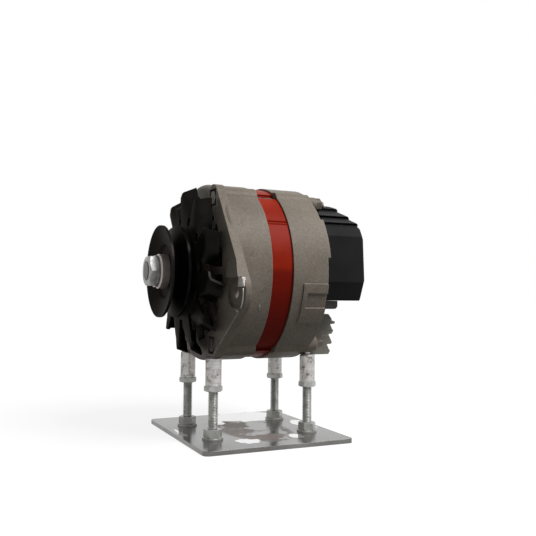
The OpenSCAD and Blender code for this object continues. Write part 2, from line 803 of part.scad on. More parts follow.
module front_bearing_retainer() {
    color("silver") slab(front_bearing_end, front_bearing_end + retainer_t) difference() {
        circle(front_hub_r);
        circle(front_pitch_r + 2.6);
        for (a = [45 : 90 : 315]) translate(retainer_screw_r * [cos(a), sin(a)])
            circle(retainer_screw_d / 2 + fit);
    }
}

module retainer_screws() {
    head_y = front_bearing_end + retainer_t;
    color("dimgray") for (a = [45 : 90 : 315]) {
        place = retainer_screw_r * [cos(a), sin(a)];
        pin_at(place, retainer_screw_d / 2, head_y - 8, head_y + 0.5);
        pin_at(place, 2.7, head_y, head_y + 2);
    }
}

module pivot_bush() {
    color("dimgray") slab(face_y, face_y + pivot_len) translate(pivot_place) difference() {
        circle(pivot_bush_d / 2);
        circle(pivot_bore_d / 2);
    }
}

// Rear cover
// A board's lip on the cover, or the line under it, as a place across the shaft
function on_cover(angle, drop) = (cover_r - drop) * [cos(angle), sin(angle)];

// The cover's outline. Its upper corners are three overlapping boards, each with an undercut lower
// edge, and plain facets on the inside.
module cover_outline(inset = 0) {
    boards = [[71.2, 6.9], [51.4, 5.3], [38, 0]];
    undercut = 2.4;
    facet_angle = -23;
    facet_depth = 6.8;
    lips = [for (board = boards, p = [0, 1])
        on_cover(board[0] + 0.4 * p, board[1] + undercut * p)];
    plain = [for (board = boards) on_cover(board[0] + 0.4, board[1] + undercut)];
    intersection() {
        circle(cover_r - inset);
        for (side = [0, 1]) mirror([side, 0]) translate([-0.5 * inset, -0.9 * inset])
            polygon(concat([[-1, -2 * cover_r], [-1, cover_top_r + 1], [0, cover_top_r + 1],
                on_cover(79, cover_top_drop + 0.8)], inset < cover_t ? lips : plain,
                [on_cover(30, -2), [cover_r + 4, -2 * cover_r]]));
        union() {
            circle(cover_top_r - inset);
            translate([-cover_r, -cover_r]) square([2 * cover_r, cover_r + on_cover(71.2, 6.9)[1] - inset]);
        }
        half_plane(facet_angle, cover_r - facet_depth - inset);
        half_plane(180 - facet_angle, cover_r - facet_depth - inset);
        half_plane(-90, cover_drop - inset);
    }
}

module rear_cover() {
    slot_step_r = 7;
    color("black") difference() {
        union() {
            slab(rear_y, cover_end_y - cover_edge_r) cover_outline();
            slab(cover_end_y - cover_edge_r, cover_end_y - cover_edge_r / 2) cover_outline(cover_edge_r / 3);
            slab(cover_end_y - cover_edge_r / 2, cover_end_y) cover_outline(cover_edge_r);
        }
        slab(rear_y - 1, cover_end_y - cover_t) cover_outline(cover_t);
        // Curved cooling slots in the rear wall
        slab(cover_end_y - cover_t - 1, cover_end_y + 1) difference() {
            for (k = [0 : 3]) difference() {
                circle(25 + slot_step_r * k);
                circle(25 + slot_step_r * k - 3);
            }
            half_plane(90, 2);
            for (a = [40 : 25 : 140]) rotate(a) square([4 * body_r, 6], center = true);
        }
        for (place = concat(stud_places, [low_stud_place])) {
            pin_at(place, 7, stud_seat_y, cover_end_y + 1);
        }
        slab(rear_y - 1, boss_end_y + 0.5) for (x = [-bolt_x, bolt_x]) translate([x, bolt_z]) circle(6.8);
    }
    color("black") for (place = concat(stud_places, [low_stud_place])) {
        slab(stud_seat_y - cover_t, stud_seat_y) translate(place) difference() {
            circle(8.5);
            circle(stud_d / 2 + free_fit);
        }
        slab(stud_seat_y - 1, cover_end_y - cover_t / 2) translate(place) difference() {
            circle(8.5);
            circle(7);
        }
    }
}

module cover_studs() {
    color("silver") for (place = concat(stud_places, [low_stud_place]))
        pin_at(place, stud_d / 2, rear_wall_y, stud_seat_y + stud_nut_h + 1.5);
}

module cover_nuts() {
    color("silver") for (place = concat(stud_places, [low_stud_place]))
        slab(stud_seat_y, stud_seat_y + stud_nut_h) translate(place) difference() {
            hexagon(stud_nut_af);
            circle(stud_d / 2 + fit);
        }
}

// Brush gear
module brush_holder() {
    slack = 0.1;
    color("saddlebrown") difference() {
        union() {
            translate([-holder_half_w, holder_y, shaft_z + holder_z])
                cube([2 * holder_half_w, holder_end_y - holder_y, holder_top_z - holder_z]);
            // Lugs for the two screws
            slab(holder_y, holder_y + holder_lug_t) {
                for (place = holder_screw_places) translate(place) circle(holder_post_r);
                translate([0, holder_screw_places[0][1]])
                    square([2 * holder_screw_places[0][0], 2 * holder_post_r - 0.4], center = true);
            }
        }
        for (place = holder_screw_places) pin_at(place, 1.5 + free_fit, holder_y - 1, holder_y + holder_lug_t + 1);
        for (y = [slip_front_y, slip_rear_y])
            translate([-brush_w / 2 - slack, y - brush_t / 2 - slack, shaft_z + holder_z - 1])
                cube([brush_w + 2 * slack, brush_t + 2 * slack, spring_top_z - holder_z + 1]);
    }
}

module brush_holder_screws() {
    head_y = holder_y + holder_lug_t;
    color("silver") for (place = holder_screw_places) {
        pin_at(place, 1.5, rear_y + 0.5, head_y + 0.5);
        pin_at(place, 2.6, head_y, head_y + 1.8);
    }
}

module voltage_regulator() {
    half_w = cover_top_r / 3;
    color("darkslategray") {
        translate([-half_w, holder_y + 1, shaft_z + holder_top_z]) cube([2 * half_w, holder_end_y - holder_y + 2, 4]);
        for (k = [-3 : 3]) translate([k * (half_w - 3) / 3 - 1, holder_y + 1, shaft_z + holder_top_z + 3])
            cube([2, holder_end_y - holder_y + 2, 4]);
    }
}

module brush(y) {
    translate([-brush_w / 2, y - brush_t / 2, shaft_z + brush_z]) cube([brush_w, brush_t, brush_len]);
}

// A coil spring along Z as one swept tube
module coil_spring(radius, wire_r, turns, height) {
    steps = 16;
    sides = 6;
    rings = turns * steps;
    rise = (height - 2 * wire_r) / rings;
    points = [for (i = [0 : rings], j = [0 : sides - 1])
        let (a = i * 360 / steps, b = j * 360 / sides)
        [(radius + wire_r * cos(b)) * cos(a), (radius + wire_r * cos(b)) * sin(a),
            wire_r + i * rise + wire_r * sin(b)]];
    skin = [for (i = [0 : rings - 1], j = [0 : sides - 1])
        [i * sides + j, i * sides + (j + 1) % sides,
            (i + 1) * sides + (j + 1) % sides, (i + 1) * sides + j]];
    ends = [[for (j = [sides - 1 : -1 : 0]) j], [for (j = [0 : sides - 1]) rings * sides + j]];
    polyhedron(points, concat(skin, ends), convexity = 8);
}

module brush_spring(y) {
    translate([0, y, shaft_z + brush_z + brush_len + 0.05])
        coil_spring(spring_r, spring_wire_r, spring_turns, spring_top_z - brush_z - brush_len - 0.1);
}

module brush_front() {
    color("dimgray") brush(slip_front_y);
}

module brush_rear() {
    color("dimgray") brush(slip_rear_y);
}

module brush_spring_front() {
    color("silver") brush_spring(slip_front_y);
}

module brush_spring_rear() {
    color("silver") brush_spring(slip_rear_y);
}

// Rectifier
// Side of the heat sink: fins with slanted tops and flat undersides, each a little shorter than the
// one above, the first and third with blunt ends
module sink_profile() {
    polygon(concat(
        [[sink_y, -sink_top], [sink_end_y - 7, -sink_top], [sink_end_y - 3.4, -sink_top - 4.4],
            [sink_end_y - 4, -sink_top - fin_step / 2 - 1]],
        [for (k = [0 : fin_count - 1], p = [0 : 3])
            let (z = -sink_top - (k + 1) * fin_step, tip = sink_end_y - k * fin_lean, blunt = k % 2)
            [[tip - 0.4 - blunt, z + 2.2 + 2 * blunt], [tip - 0.2, z + 1.2 + 2 * blunt],
                [tip - 1 - blunt, z + 0.2],
                [k < fin_count - 1 ? tip - fin_depth - 0.6 : tip - 2, k < fin_count - 1 ? z - 0.2 : z]][p]],
        [[sink_y, -sink_bottom]]));
}

module heat_sink() {
    color("lightslategray") difference() {
        union() {
            translate([-sink_half_w, 0, shaft_z]) rotate([90, 0, 90]) linear_extrude(2 * sink_half_w)
                sink_profile();
            pin_at(output_place, 7, sink_end_y - 12, output_seat_y);
        }
        translate([-sink_hole_half_w, sink_y - 1, shaft_z - sink_bottom + 4])
            cube([2 * sink_hole_half_w, sink_hole_y - sink_y + 1, sink_h - 9]);
        for (place = diode_places) pin_at(place, diode_r + fit, sink_hole_y - 1, sink_hole_y + 5);
        for (place = sink_screw_places) {
            pin_at(place, 2.5 + free_fit, sink_y - 1, sink_end_y + 1);
            pin_at(place, 5, sink_head_y, sink_end_y + 1);
        }
        pin_at(output_place, output_root_r + fit, output_seat_y - 12, sink_end_y + 1);
        pin_at(output_place, 9, output_seat_y, sink_end_y + 1);
    }
}

module heat_sink_washers() {
    color("ivory") for (place = sink_screw_places) slab(rear_y, sink_y) translate(place) difference() {
        circle(5);
        circle(2.5 + free_fit);
    }
}

module heat_sink_screws() {
    color("silver") for (place = sink_screw_places) {
        pin_at(place, 2.5, rear_wall_y, sink_head_y + 1);
        slab(sink_head_y, sink_head_y + 3.5) translate(place) hexagon(8);
    }
}

module diode(place, body_y0, body_y1, lead_y0, lead_y1) {
    pin_at(place, diode_r, body_y0, body_y1);
    pin_at(place, 0.8, lead_y0, lead_y1);
}

module positive_diodes() {
    color("silver") for (place = diode_places)
        diode(place, sink_hole_y - 5, sink_hole_y + 5, sink_hole_y - 8, sink_hole_y - 4.5);
}

module negative_diodes() {
    color("silver") for (place = negative_places)
        diode(place, rear_wall_y - 3, rear_y + 1, rear_y + 0.5, rear_y + 9);
}

module terminal_block() {
    low = cover_drop + 7.2;
    color("dimgray") difference() {
        translate([block_x0, 0, shaft_z]) rotate([90, 0, 90]) linear_extrude(block_x1 - block_x0) {
            translate([rear_y, -low]) square([block_len - block_corner_r, low - cover_drop - 0.3]);
            translate([rear_y, block_corner_r - low]) square([block_len, low - cover_drop - 0.3 - block_corner_r]);
            translate([rear_y + block_len - block_corner_r, block_corner_r - low]) circle(block_corner_r - 0.02);
        }
        // Socket for the plug
        translate([block_x0 + 4, rear_y + block_len - 8, shaft_z - cover_drop - 5])
            cube([block_x1 - block_x0 - 8, 10, 3]);
    }
}

module output_stud() {
    color("goldenrod") {
        pin_at(output_place, output_root_r, output_seat_y - 12, output_seat_y + output_nut_h);
        pin_at(output_place, output_stud_d / 2, output_seat_y + output_nut_h - 1, output_seat_y + output_nut_h + 15);
    }
}

module output_stud_nut() {
    color("silver") slab(output_seat_y, output_seat_y + output_nut_h) translate(output_place) difference() {
        hexagon(output_nut_af);
        circle(output_root_r + fit);
    }
}

module output_terminal_shroud() {
    color("black") {
        slab(output_seat_y, output_seat_y + 12) translate(output_place) difference() {
            circle(8.6);
            circle(7.1);
            translate([-20, -3.5]) square([20, 7]);
        }
    }
}

// Rotor
module keyway() {
    translate([-key_w / 2 - fit, key_y0 - fit, shaft_z]) cube([key_w + 2 * fit, key_y1 - key_y0 + 2 * fit, key_top + 0.1]);
}

module rotor_shaft() {
    color("silver") difference() {
        revolved() polygon([
            [0, shaft_front_y], [thread_r - 1, shaft_front_y], [thread_r, shaft_front_y + 1],
            [thread_r, collar_y], [shaft_r, collar_y], [shaft_r, front_bearing_end],
            [shaft_r + 3, front_bearing_end], [shaft_r + 3, rotor_front_y], [rotor_shaft_r, rotor_front_y],
            [rotor_shaft_r, rotor_rear_y], [rotor_shaft_r + 0.6, rotor_rear_y],
            [rotor_shaft_r + 0.6, rear_bearing_y], [rear_shaft_r, rear_bearing_y],
            [rear_shaft_r, rear_hub_y + 1], [slip_shaft_r, rear_hub_y + 1],
            [slip_shaft_r, holder_end_y + 2], [0, holder_end_y + 2]]);
        translate([-key_w / 2 - fit, key_y0 - fit, shaft_z + key_bottom])
            cube([key_w + 2 * fit, key_y1 - key_y0 + 2 * fit, shaft_r]);
    }
}

module shaft_key() {
    color("silver") translate([-key_w / 2, key_y0, shaft_z + key_bottom + fit])
        cube([key_w, key_y1 - key_y0, key_top - key_bottom - fit]);
}

// One pressed half of the pulley: side -1 is the front half and 1 the rear one
module pulley_half(side) {
    color("black") difference() {
        revolved() translate([0, groove_y]) polygon([
            [shaft_r + fit, 0], [groove_r - 2, 0], [groove_r, side * 2],
            [pulley_r, side * groove_half_w], [pulley_r, side * pulley_half_w],
            [groove_r - 0.8, side * (2 + sheet_t - 0.1)], [groove_r - 2.8, side * sheet_t],
            [shaft_r + fit, side * sheet_t]]);
        keyway();
    }
}

module pulley_front_half() {
    pulley_half(-1);
}

module pulley_rear_half() {
    pulley_half(1);
}

module pulley_collar() {
    color("rosybrown") revolved() polygon([
        [shaft_r + fit, collar_y], [collar_r - 1, collar_y], [collar_r, collar_y + 1],
        [collar_r, pulley_front_y], [shaft_r + fit, pulley_front_y]]);
}

module pulley_lock_washer() {
    color("silver") tube(collar_r - 1.3, thread_r + 0.1, washer_y, collar_y);
}

module pulley_nut() {
    chamfer = 1.2;
    color("silver") difference() {
        intersection() {
            slab(pulley_nut_y, washer_y) hexagon(pulley_nut_af);
            revolved() polygon([[0, pulley_nut_y], [pulley_nut_af / 2 - 0.4, pulley_nut_y],
                [pulley_nut_af / 2 + 3, pulley_nut_y + 1.6 + chamfer / 2],
                [pulley_nut_af / 2 + 3, washer_y], [0, washer_y]]);
        }
        slab(pulley_nut_y - 1, washer_y + 1) circle(thread_r + fit);
    }
}

module pulley_spacer() {
    color("dimgray") difference() {
        tube(16, shaft_r + fit, pulley_back_y, fan_y);
        keyway();
    }
}

module fan_spacer() {
    color("silver") tube(front_pitch_r - 2.6, shaft_r + fit, fan_back_y, front_bearing_y);
}

// The notch between two blades. One side is the fold of the vane, the other the free end of the
// next blade, with its rounded corner.
module blade_notch() {
    corner_place = fan_r - blade_corner_r;
    corner_turn = asin(blade_corner_r / corner_place);
    fold = [cos(fold_turn), sin(fold_turn)];
    free_end = [cos(free_turn), sin(free_turn)];
    difference() {
        polygon([0.8 * fan_hub_r * free_end, 1.3 * fan_r * free_end, fold_start + fan_r * fold,
            fold_start - fold_start_in * fold]);
        circle(fan_hub_r);
    }
    difference() {
        sector(fan_r + 5, free_turn - corner_turn, free_turn + 1);
        circle(corner_place);
        rotate(free_turn - corner_turn) translate([corner_place, 0]) circle(blade_corner_r + 0.02);
    }
}

// A vane in section across its fold: bent out of the disc and leaning back over the notch
module vane_section() {
    sunk = 0.05;
    start = -0.8;
    steps = [0 : 10 : 90 - vane_lean];
    far = vane_end_y - fan_y;
    function bend(radius, a) = [start + radius * sin(a), sunk + bend_r - radius * cos(a)];
    function rest(from) = [from[0] + (far - from[1]) * tan(vane_lean), far];
    inner_r = bend_r - sheet_t + 2 * sunk;
    translate([0, fan_y]) polygon(concat(
        [[start - 1, sunk]], [for (a = steps) bend(bend_r, a)],
        [rest(bend(bend_r, 90 - vane_lean)), rest(bend(inner_r, 90 - vane_lean))],
        [for (a = steps) bend(inner_r, 90 - vane_lean - a)], [[start - 1, sheet_t - sunk]]));
}

module vane() {
    intersection() {
        translate([fold_start[0], 0, shaft_z + fold_start[1]]) rotate([0, 90 - fold_turn, 0])
            linear_extrude(fan_r) vane_section();
        slab(fan_y - 1, vane_end_y + 1) circle(fan_r - 0.2);
    }
}

module fan() {
    step = 360 / blade_count;
    color("black") {
        slab(fan_y, fan_back_y) difference() {
            circle(fan_r);
            circle(shaft_r + fit);
            for (k = [0 : blade_count - 1]) rotate(k * step) blade_notch();
        }
        for (k = [0 : blade_count - 1])
            translate([0, 0, shaft_z]) rotate([0, -k * step, 0]) translate([0, 0, -shaft_z]) vane();
    }
}

// Claw pole: a disc with tapering claws that reach over the coil. It starts at the given plane
// and its claws point along the given direction, turned by an angle.
module claw_pole(start_y, direction, turn) {
    reach = rotor_rear_y - rotor_front_y;
    tip = reach - 2;
    shoulder = 6;
    root_inner_r = coil_r + 1.5;
    tip_inner_r = rotor_r - 5;
    difference() {
        union() {
            revolved() translate([0, start_y]) mirror([0, direction < 0 ? 1 : 0])
                polygon([[0, 0], [coil_r - 1.5, 0], [coil_r + 0.5, 2], [coil_r + 0.5, pole_disc_t], [0, pole_disc_t]]);
            intersection() {
                revolved() translate([0, start_y]) mirror([0, direction < 0 ? 1 : 0])
                    polygon([[coil_r - 5.5, 0], [rotor_r - 4, 0], [rotor_r, 4], [rotor_r, tip], [tip_inner_r, tip],
                        [root_inner_r, pole_disc_t], [coil_r - 5.5, pole_disc_t]]);
                for (k = [0 : claw_count - 1]) translate([0, 0, shaft_z])
                    rotate([0, turn + k * 360 / claw_count, 0]) translate([0, start_y, 0])
                        mirror([0, direction < 0 ? 1 : 0, 0]) rotate([0, 90, 0]) linear_extrude(60)
                            polygon([[-claw_root_w / 2, -1], [claw_root_w / 2, -1], [claw_root_w / 2, shoulder],
                                [claw_tip_w / 2, tip + 1], [-claw_tip_w / 2, tip + 1],
                                [-claw_root_w / 2, shoulder]]);
            }
        }
        slab(rotor_front_y - 1, rotor_rear_y + 1) circle(rotor_shaft_r + fit);
    }
}

module claw_pole_front() {
    color("darkgray") claw_pole(rotor_front_y, 1, 0);
}

module claw_pole_rear() {
    color("darkgray") claw_pole(rotor_rear_y, -1, 180 / claw_count);
}

module rotor_core() {
    color("gray") tube(pole_core_r, rotor_shaft_r + fit, rotor_front_y + pole_disc_t, rotor_rear_y - pole_disc_t);
}

module coil_bobbin() {
    y0 = rotor_front_y + pole_disc_t;
    y1 = rotor_rear_y - pole_disc_t;
    color("ivory") {
        tube(pole_core_r + 1.5, pole_core_r + fit, y0, y1);
        tube(coil_r + 0.5, pole_core_r + 1, y0, y0 + 1.2);
        tube(coil_r + 0.5, pole_core_r + 1, y1 - 1.2, y1);
    }
}

module field_coil() {
    y0 = rotor_front_y + pole_disc_t;
    y1 = rotor_rear_y - pole_disc_t;
    color("orangered") tube(coil_r, pole_core_r + 1.5 + fit, y0 + 1.2 + fit, y1 - 1.2 - fit);
}

module slip_rings() {
    color("goldenrod") for (y = [slip_front_y, slip_rear_y])
        tube(slip_ring_r, slip_shaft_r + 2.4 + fit, y - slip_ring_w / 2, y + slip_ring_w / 2);
}

module slip_ring_insulator() {
    front_y = slip_front_y - slip_ring_w / 2;
    rear_y = slip_rear_y + slip_ring_w / 2;
    color("saddlebrown") difference() {
        union() {
            tube(slip_shaft_r + 2.4, slip_shaft_r + fit, front_y - 1, rear_y + 1);
            tube(slip_ring_r - 1, slip_shaft_r + 2, front_y - 1, front_y);
            tube(slip_ring_r - 1, slip_shaft_r + 2, slip_front_y + slip_ring_w / 2, slip_rear_y - slip_ring_w / 2);
            tube(slip_ring_r - 1, slip_shaft_r + 2, rear_y, rear_y + 1);
        }
    }
}

stand_plate();
leg_rods();
leg_washers();
leg_base_nuts();
leg_lock_nuts();
leg_sleeves();
front_bracket();
rear_bracket();
stator_core();
stator_windings();
stator_leads();
through_bolts();
through_bolt_nuts();
front_bearing_outer_ring();
front_bearing_retainer();
retainer_screws();
rear_bearing_outer_ring();
pivot_bush();
rear_cover();
cover_studs();
cover_nuts();
brush_holder();
brush_holder_screws();
voltage_regulator();
heat_sink();
heat_sink_washers();
heat_sink_screws();
positive_diodes();
negative_diodes();
terminal_block();
output_stud();
output_stud_nut();
output_terminal_shroud();
rotor_shaft();
pulley_front_half();
pulley_rear_half();
pulley_collar();
pulley_lock_washer();
pulley_nut();
pulley_spacer();
fan();
fan_spacer();
shaft_key();
claw_pole_front();
claw_pole_rear();
rotor_core();
field_coil();
coil_bobbin();
front_bearing_inner_ring();
rear_bearing_inner_ring();
slip_rings();
slip_ring_insulator();
front_bearing_balls();
front_bearing_cage();
rear_bearing_balls();
rear_bearing_cage();
brush_front();
brush_rear();
brush_spring_front();
brush_spring_rear();
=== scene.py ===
"""The looks of a belt-driven alternator on its display stand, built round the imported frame.

Unless a comment says otherwise, sizes and places are in millimetres, heights count from the shaft's
axis, and X and Y are the frame's.
"""

import json
import math

import bmesh
import bpy
from mathutils import Matrix, Vector


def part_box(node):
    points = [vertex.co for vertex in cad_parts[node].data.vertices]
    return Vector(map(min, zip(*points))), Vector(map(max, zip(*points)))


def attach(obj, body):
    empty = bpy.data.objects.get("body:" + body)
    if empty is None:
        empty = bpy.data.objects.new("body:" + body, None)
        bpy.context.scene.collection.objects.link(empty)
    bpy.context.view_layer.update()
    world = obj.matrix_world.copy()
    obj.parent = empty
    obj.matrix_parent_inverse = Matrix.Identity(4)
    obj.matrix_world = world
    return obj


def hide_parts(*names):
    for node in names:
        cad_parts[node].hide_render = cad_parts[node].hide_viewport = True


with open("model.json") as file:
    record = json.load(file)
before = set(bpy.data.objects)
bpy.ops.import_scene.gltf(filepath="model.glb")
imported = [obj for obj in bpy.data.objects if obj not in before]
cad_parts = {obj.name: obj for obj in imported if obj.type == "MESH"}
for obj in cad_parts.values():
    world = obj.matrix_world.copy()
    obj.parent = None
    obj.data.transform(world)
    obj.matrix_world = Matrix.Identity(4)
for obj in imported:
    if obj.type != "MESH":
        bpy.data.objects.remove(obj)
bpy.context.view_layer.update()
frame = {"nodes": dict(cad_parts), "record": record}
NODES = frame["nodes"]
MM = 0.001


# The shaft's axis in metres above the ground, from the pulley nut's own box
NUT_LOW, NUT_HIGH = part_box("pulley_nut")
SHAFT_Z = (NUT_LOW.z + NUT_HIGH.z) / 2

# The camera that fits the photograph's plate, legs and pulley. Its height is above the ground
CAMERA_PLACE = Vector((558.9, -239.5, 118.6)) * MM
CAMERA_YAW = 65.07
CAMERA_PITCH = 2.23
CAMERA_ROLL = 0.49
CAMERA_LENS = 46.8
CAMERA_SENSOR = 36

# The key light, in metres from the ground's middle and in watts, and the even light round it
KEY_PLACE = Vector((0.66, 0.42, 1.05))
KEY_AIM = Vector((0, 0, 0.13))
KEY_SIZE = 0.6
KEY_POWER = 14.5
AMBIENT = 0.1

# The floor in metres: it glows a little less near the object, which keeps a faint shadow
FLOOR_SIZE = 6
FLOOR_GLOW = 0.86
GLOW_NEAR = 0.25
GLOW_FAR = 0.9


def at(x, y, height):
    """A point in metres, from X, Y and a height from the shaft in millimetres."""
    return x * MM, y * MM, SHAFT_Z + height * MM


# Materials
BEVEL_SAMPLES = 4


class Shader:
    """A material's node tree round one Principled shader, with short calls to add nodes."""

    def __init__(self, name, color, metallic=0.0, roughness=0.5, specular=0.5):
        self.material = bpy.data.materials.new(name)
        self.material.use_nodes = True
        self.tree = self.material.node_tree
        self.principled = self.tree.nodes["Principled BSDF"]
        inputs = self.principled.inputs
        inputs["Base Color"].default_value = (*color, 1)
        inputs["Metallic"].default_value = metallic
        inputs["Roughness"].default_value = roughness
        inputs["Specular IOR Level"].default_value = specular
        self.material.diffuse_color = (*color, 1)
        self.place = self.add("ShaderNodeTexCoord").outputs["Object"]

    def add(self, kind, **settings):
        """A new node with its settings."""
        node = self.tree.nodes.new(kind)
        for key, value in settings.items():
            setattr(node, key, value)
        return node

    def join(self, source, target):
        """Links an output to an input."""
        self.tree.links.new(source, target)

    def stretch(self, scale):
        """The object's own coordinates, scaled along each axis."""
        mapping = self.add("ShaderNodeMapping")
        mapping.inputs["Scale"].default_value = scale
        self.join(self.place, mapping.inputs["Vector"])
        return mapping.outputs["Vector"]

    def noise(self, scale, detail=4.0, roughness=0.6, stretch=None, seed=0.0):
        """Cloudy noise from 0 to 1, the same at each run for a seed."""
        node = self.add("ShaderNodeTexNoise", noise_dimensions="4D")
        node.inputs["Scale"].default_value = scale
        node.inputs["Detail"].default_value = detail
        node.inputs["Roughness"].default_value = roughness
        node.inputs["W"].default_value = seed
        self.join(self.stretch(stretch) if stretch else self.place, node.inputs["Vector"])
        return node.outputs["Fac"]

    def ramp(self, fac, stops):
        """A colour ramp: stops are (place, grey value or colour)."""
        node = self.add("ShaderNodeValToRGB")
        self.join(fac, node.inputs["Fac"])
        elements = node.color_ramp.elements
        while len(elements) < len(stops):
            elements.new(0.5)
        for element, (place, value) in zip(elements, stops):
            element.position = place
            color = value if isinstance(value, tuple) else (value, value, value)
            element.color = (*color, 1)
        return node.outputs["Color"]

    def mix(self, fac, a, b, blend="MIX"):
        """Mixes two colours, each a socket or a plain value."""
        node = self.add("ShaderNodeMix", data_type="RGBA", blend_type=blend)
        for socket, value in ((node.inputs[0], fac), (node.inputs[6], a), (node.inputs[7], b)):
            if isinstance(value, (int, float)):
                socket.default_value = value
            elif isinstance(value, tuple):
                socket.default_value = (*value, 1)
            else:
                self.join(value, socket)
        return node.outputs[2]

    def math(self, operation, a, b=0.0):
        """One calculation with two sockets or plain values, kept between 0 and 1."""
        node = self.add("ShaderNodeMath", operation=operation, use_clamp=True)
        for socket, value in ((node.inputs[0], a), (node.inputs[1], b)):
            if isinstance(value, (int, float)):
                socket.default_value = value
            else:
                self.join(value, socket)
        return node.outputs["Value"]

    def below(self, height, blur):
        """1 below a height from the shaft and 0 above it, over a blur, both in millimetres."""
        node = self.add("ShaderNodeMapRange")
        node.inputs["From Min"].default_value = SHAFT_Z + height * MM - blur * MM
        node.inputs["From Max"].default_value = SHAFT_Z + height * MM + blur * MM
        node.inputs["To Min"].default_value = 1
        node.inputs["To Max"].default_value = 0
        split = self.add("ShaderNodeSeparateXYZ")
        self.join(self.place, split.inputs[0])
        self.join(split.outputs["Z"], node.inputs["Value"])
        return node.outputs["Result"]

    def spot(self, place, reach, soft):
        """1 at a place and 0 beyond its reach along each axis, in millimetres, with a soft rim."""
        mapping = self.add("ShaderNodeMapping", vector_type="TEXTURE")
        mapping.inputs["Location"].default_value = at(*place)
        mapping.inputs["Scale"].default_value = [r * MM for r in reach]
        self.join(self.place, mapping.inputs["Vector"])
        length = self.add("ShaderNodeVectorMath", operation="LENGTH")
        self.join(mapping.outputs["Vector"], length.inputs[0])
        return self.ramp(length.outputs["Value"], [(1 - soft, 1.0), (1.0, 0.0)])

    def bevel(self, radius):
        """The surface's normal, rounded at edges by a radius in millimetres."""
        bevel = self.add("ShaderNodeBevel", samples=BEVEL_SAMPLES)
        bevel.inputs["Radius"].default_value = radius * MM
        return bevel.outputs["Normal"]

    def edges(self, radius):
        """1 on edges and corners within a radius in millimetres, 0 on flat stretches."""
        geometry = self.add("ShaderNodeNewGeometry")
        dot = self.add("ShaderNodeVectorMath", operation="DOT_PRODUCT")
        self.join(self.bevel(radius), dot.inputs[0])
        self.join(geometry.outputs["Normal"], dot.inputs[1])
        return self.ramp(dot.outputs["Value"], [(0.72, 1.0), (0.985, 0.0)])

    def soft_edges(self, radius, height=None, strength=0.2, distance=0.0002):
        """Rounds the look of edges by a radius in millimetres, with a bump on top where given."""
        normal = self.bevel(radius)
        if height is not None:
            bump = self.add("ShaderNodeBump")
            bump.inputs["Strength"].default_value = strength
            bump.inputs["Distance"].default_value = distance
            self.join(height, bump.inputs["Height"])
            self.join(normal, bump.inputs["Normal"])
            normal = bump.outputs["Normal"]
        self.join(normal, self.principled.inputs["Normal"])

    def color(self, source):
        """Sets the base colour from a socket."""
        self.join(source, self.principled.inputs["Base Color"])

    def rough(self, source):
        """Sets the roughness from a socket."""
        self.join(source, self.principled.inputs["Roughness"])


def cast_aluminium():
    """Satin die-cast aluminium with a grey-brown bloom, dark specks, fine grain, and edges lightened in
    patches, partly as wear and partly as a painted highlight.
    """
    s = Shader("cast_aluminium", (0.19, 0.162, 0.138), metallic=0.05, roughness=0.5, specular=0.12)
    blotch = s.noise(28, detail=5, seed=1)
    tone = s.ramp(blotch, [(0.3, (0.185, 0.157, 0.126)), (0.55, (0.23, 0.199, 0.162)),
                           (0.75, (0.275, 0.241, 0.2))])
    speck = s.ramp(s.noise(210, detail=6, roughness=0.75, seed=3), [(0.56, 0.0), (0.68, 0.65)])
    tone = s.mix(speck, tone, (0.12, 0.10, 0.082))
    fleck = s.ramp(s.noise(330, detail=5, roughness=0.7, seed=5), [(0.60, 0.0), (0.70, 0.6)])
    tone = s.mix(fleck, tone, (0.30, 0.265, 0.235))
    grain = s.ramp(s.noise(650, detail=2, roughness=0.5, seed=6), [(0.35, 0.72), (0.65, 1.0)])
    tone = s.mix(0.8, tone, grain, blend="MULTIPLY")
    # The edges are lightened in noisy patches: partly worn metal, partly a painted highlight
    wear_and_highlight_patches = s.ramp(s.noise(120, seed=4), [(0.35, 0.15), (0.7, 0.8)])
    s.color(s.mix(s.math("MULTIPLY", s.edges(0.7), wear_and_highlight_patches), tone, (0.55, 0.52, 0.49)))
    s.rough(s.ramp(blotch, [(0.2, 0.42), (0.8, 0.58)]))
    s.soft_edges(0.6, s.noise(900, detail=3, seed=2), strength=0.5, distance=0.00018)
    return s.material


def worn_aluminium():
    """Cast edges worn bright, where a tool or a spanner has cut through the bloom."""
    s = Shader("worn_aluminium", (0.66, 0.62, 0.58), metallic=0.35, roughness=0.34, specular=0.3)
    patchy = s.noise(150, detail=5, seed=171)
    s.color(s.ramp(patchy, [(0.35, (0.2, 0.18, 0.16)), (0.65, (0.6, 0.565, 0.53))]))
    s.soft_edges(0.3, s.noise(900, seed=172), strength=0.2, distance=0.0001)
    return s.material


def sink_aluminium():
    """Bare grey casting of the heat sink, rougher and duller than the brackets."""
    s = Shader("sink_aluminium", (0.2, 0.19, 0.165), metallic=0.1, roughness=0.62, specular=0.25)
    cloud = s.noise(60, detail=6, seed=7)
    tone = s.ramp(cloud, [(0.3, (0.19, 0.178, 0.153)), (0.7, (0.3, 0.286, 0.25))])
    # Painted highlight: the edges are lightened
    s.color(s.mix(s.edges(0.5), tone, (0.5, 0.485, 0.44)))
    s.soft_edges(0.5, s.noise(1100, detail=2, seed=8), strength=0.35, distance=0.00012)
    return s.material


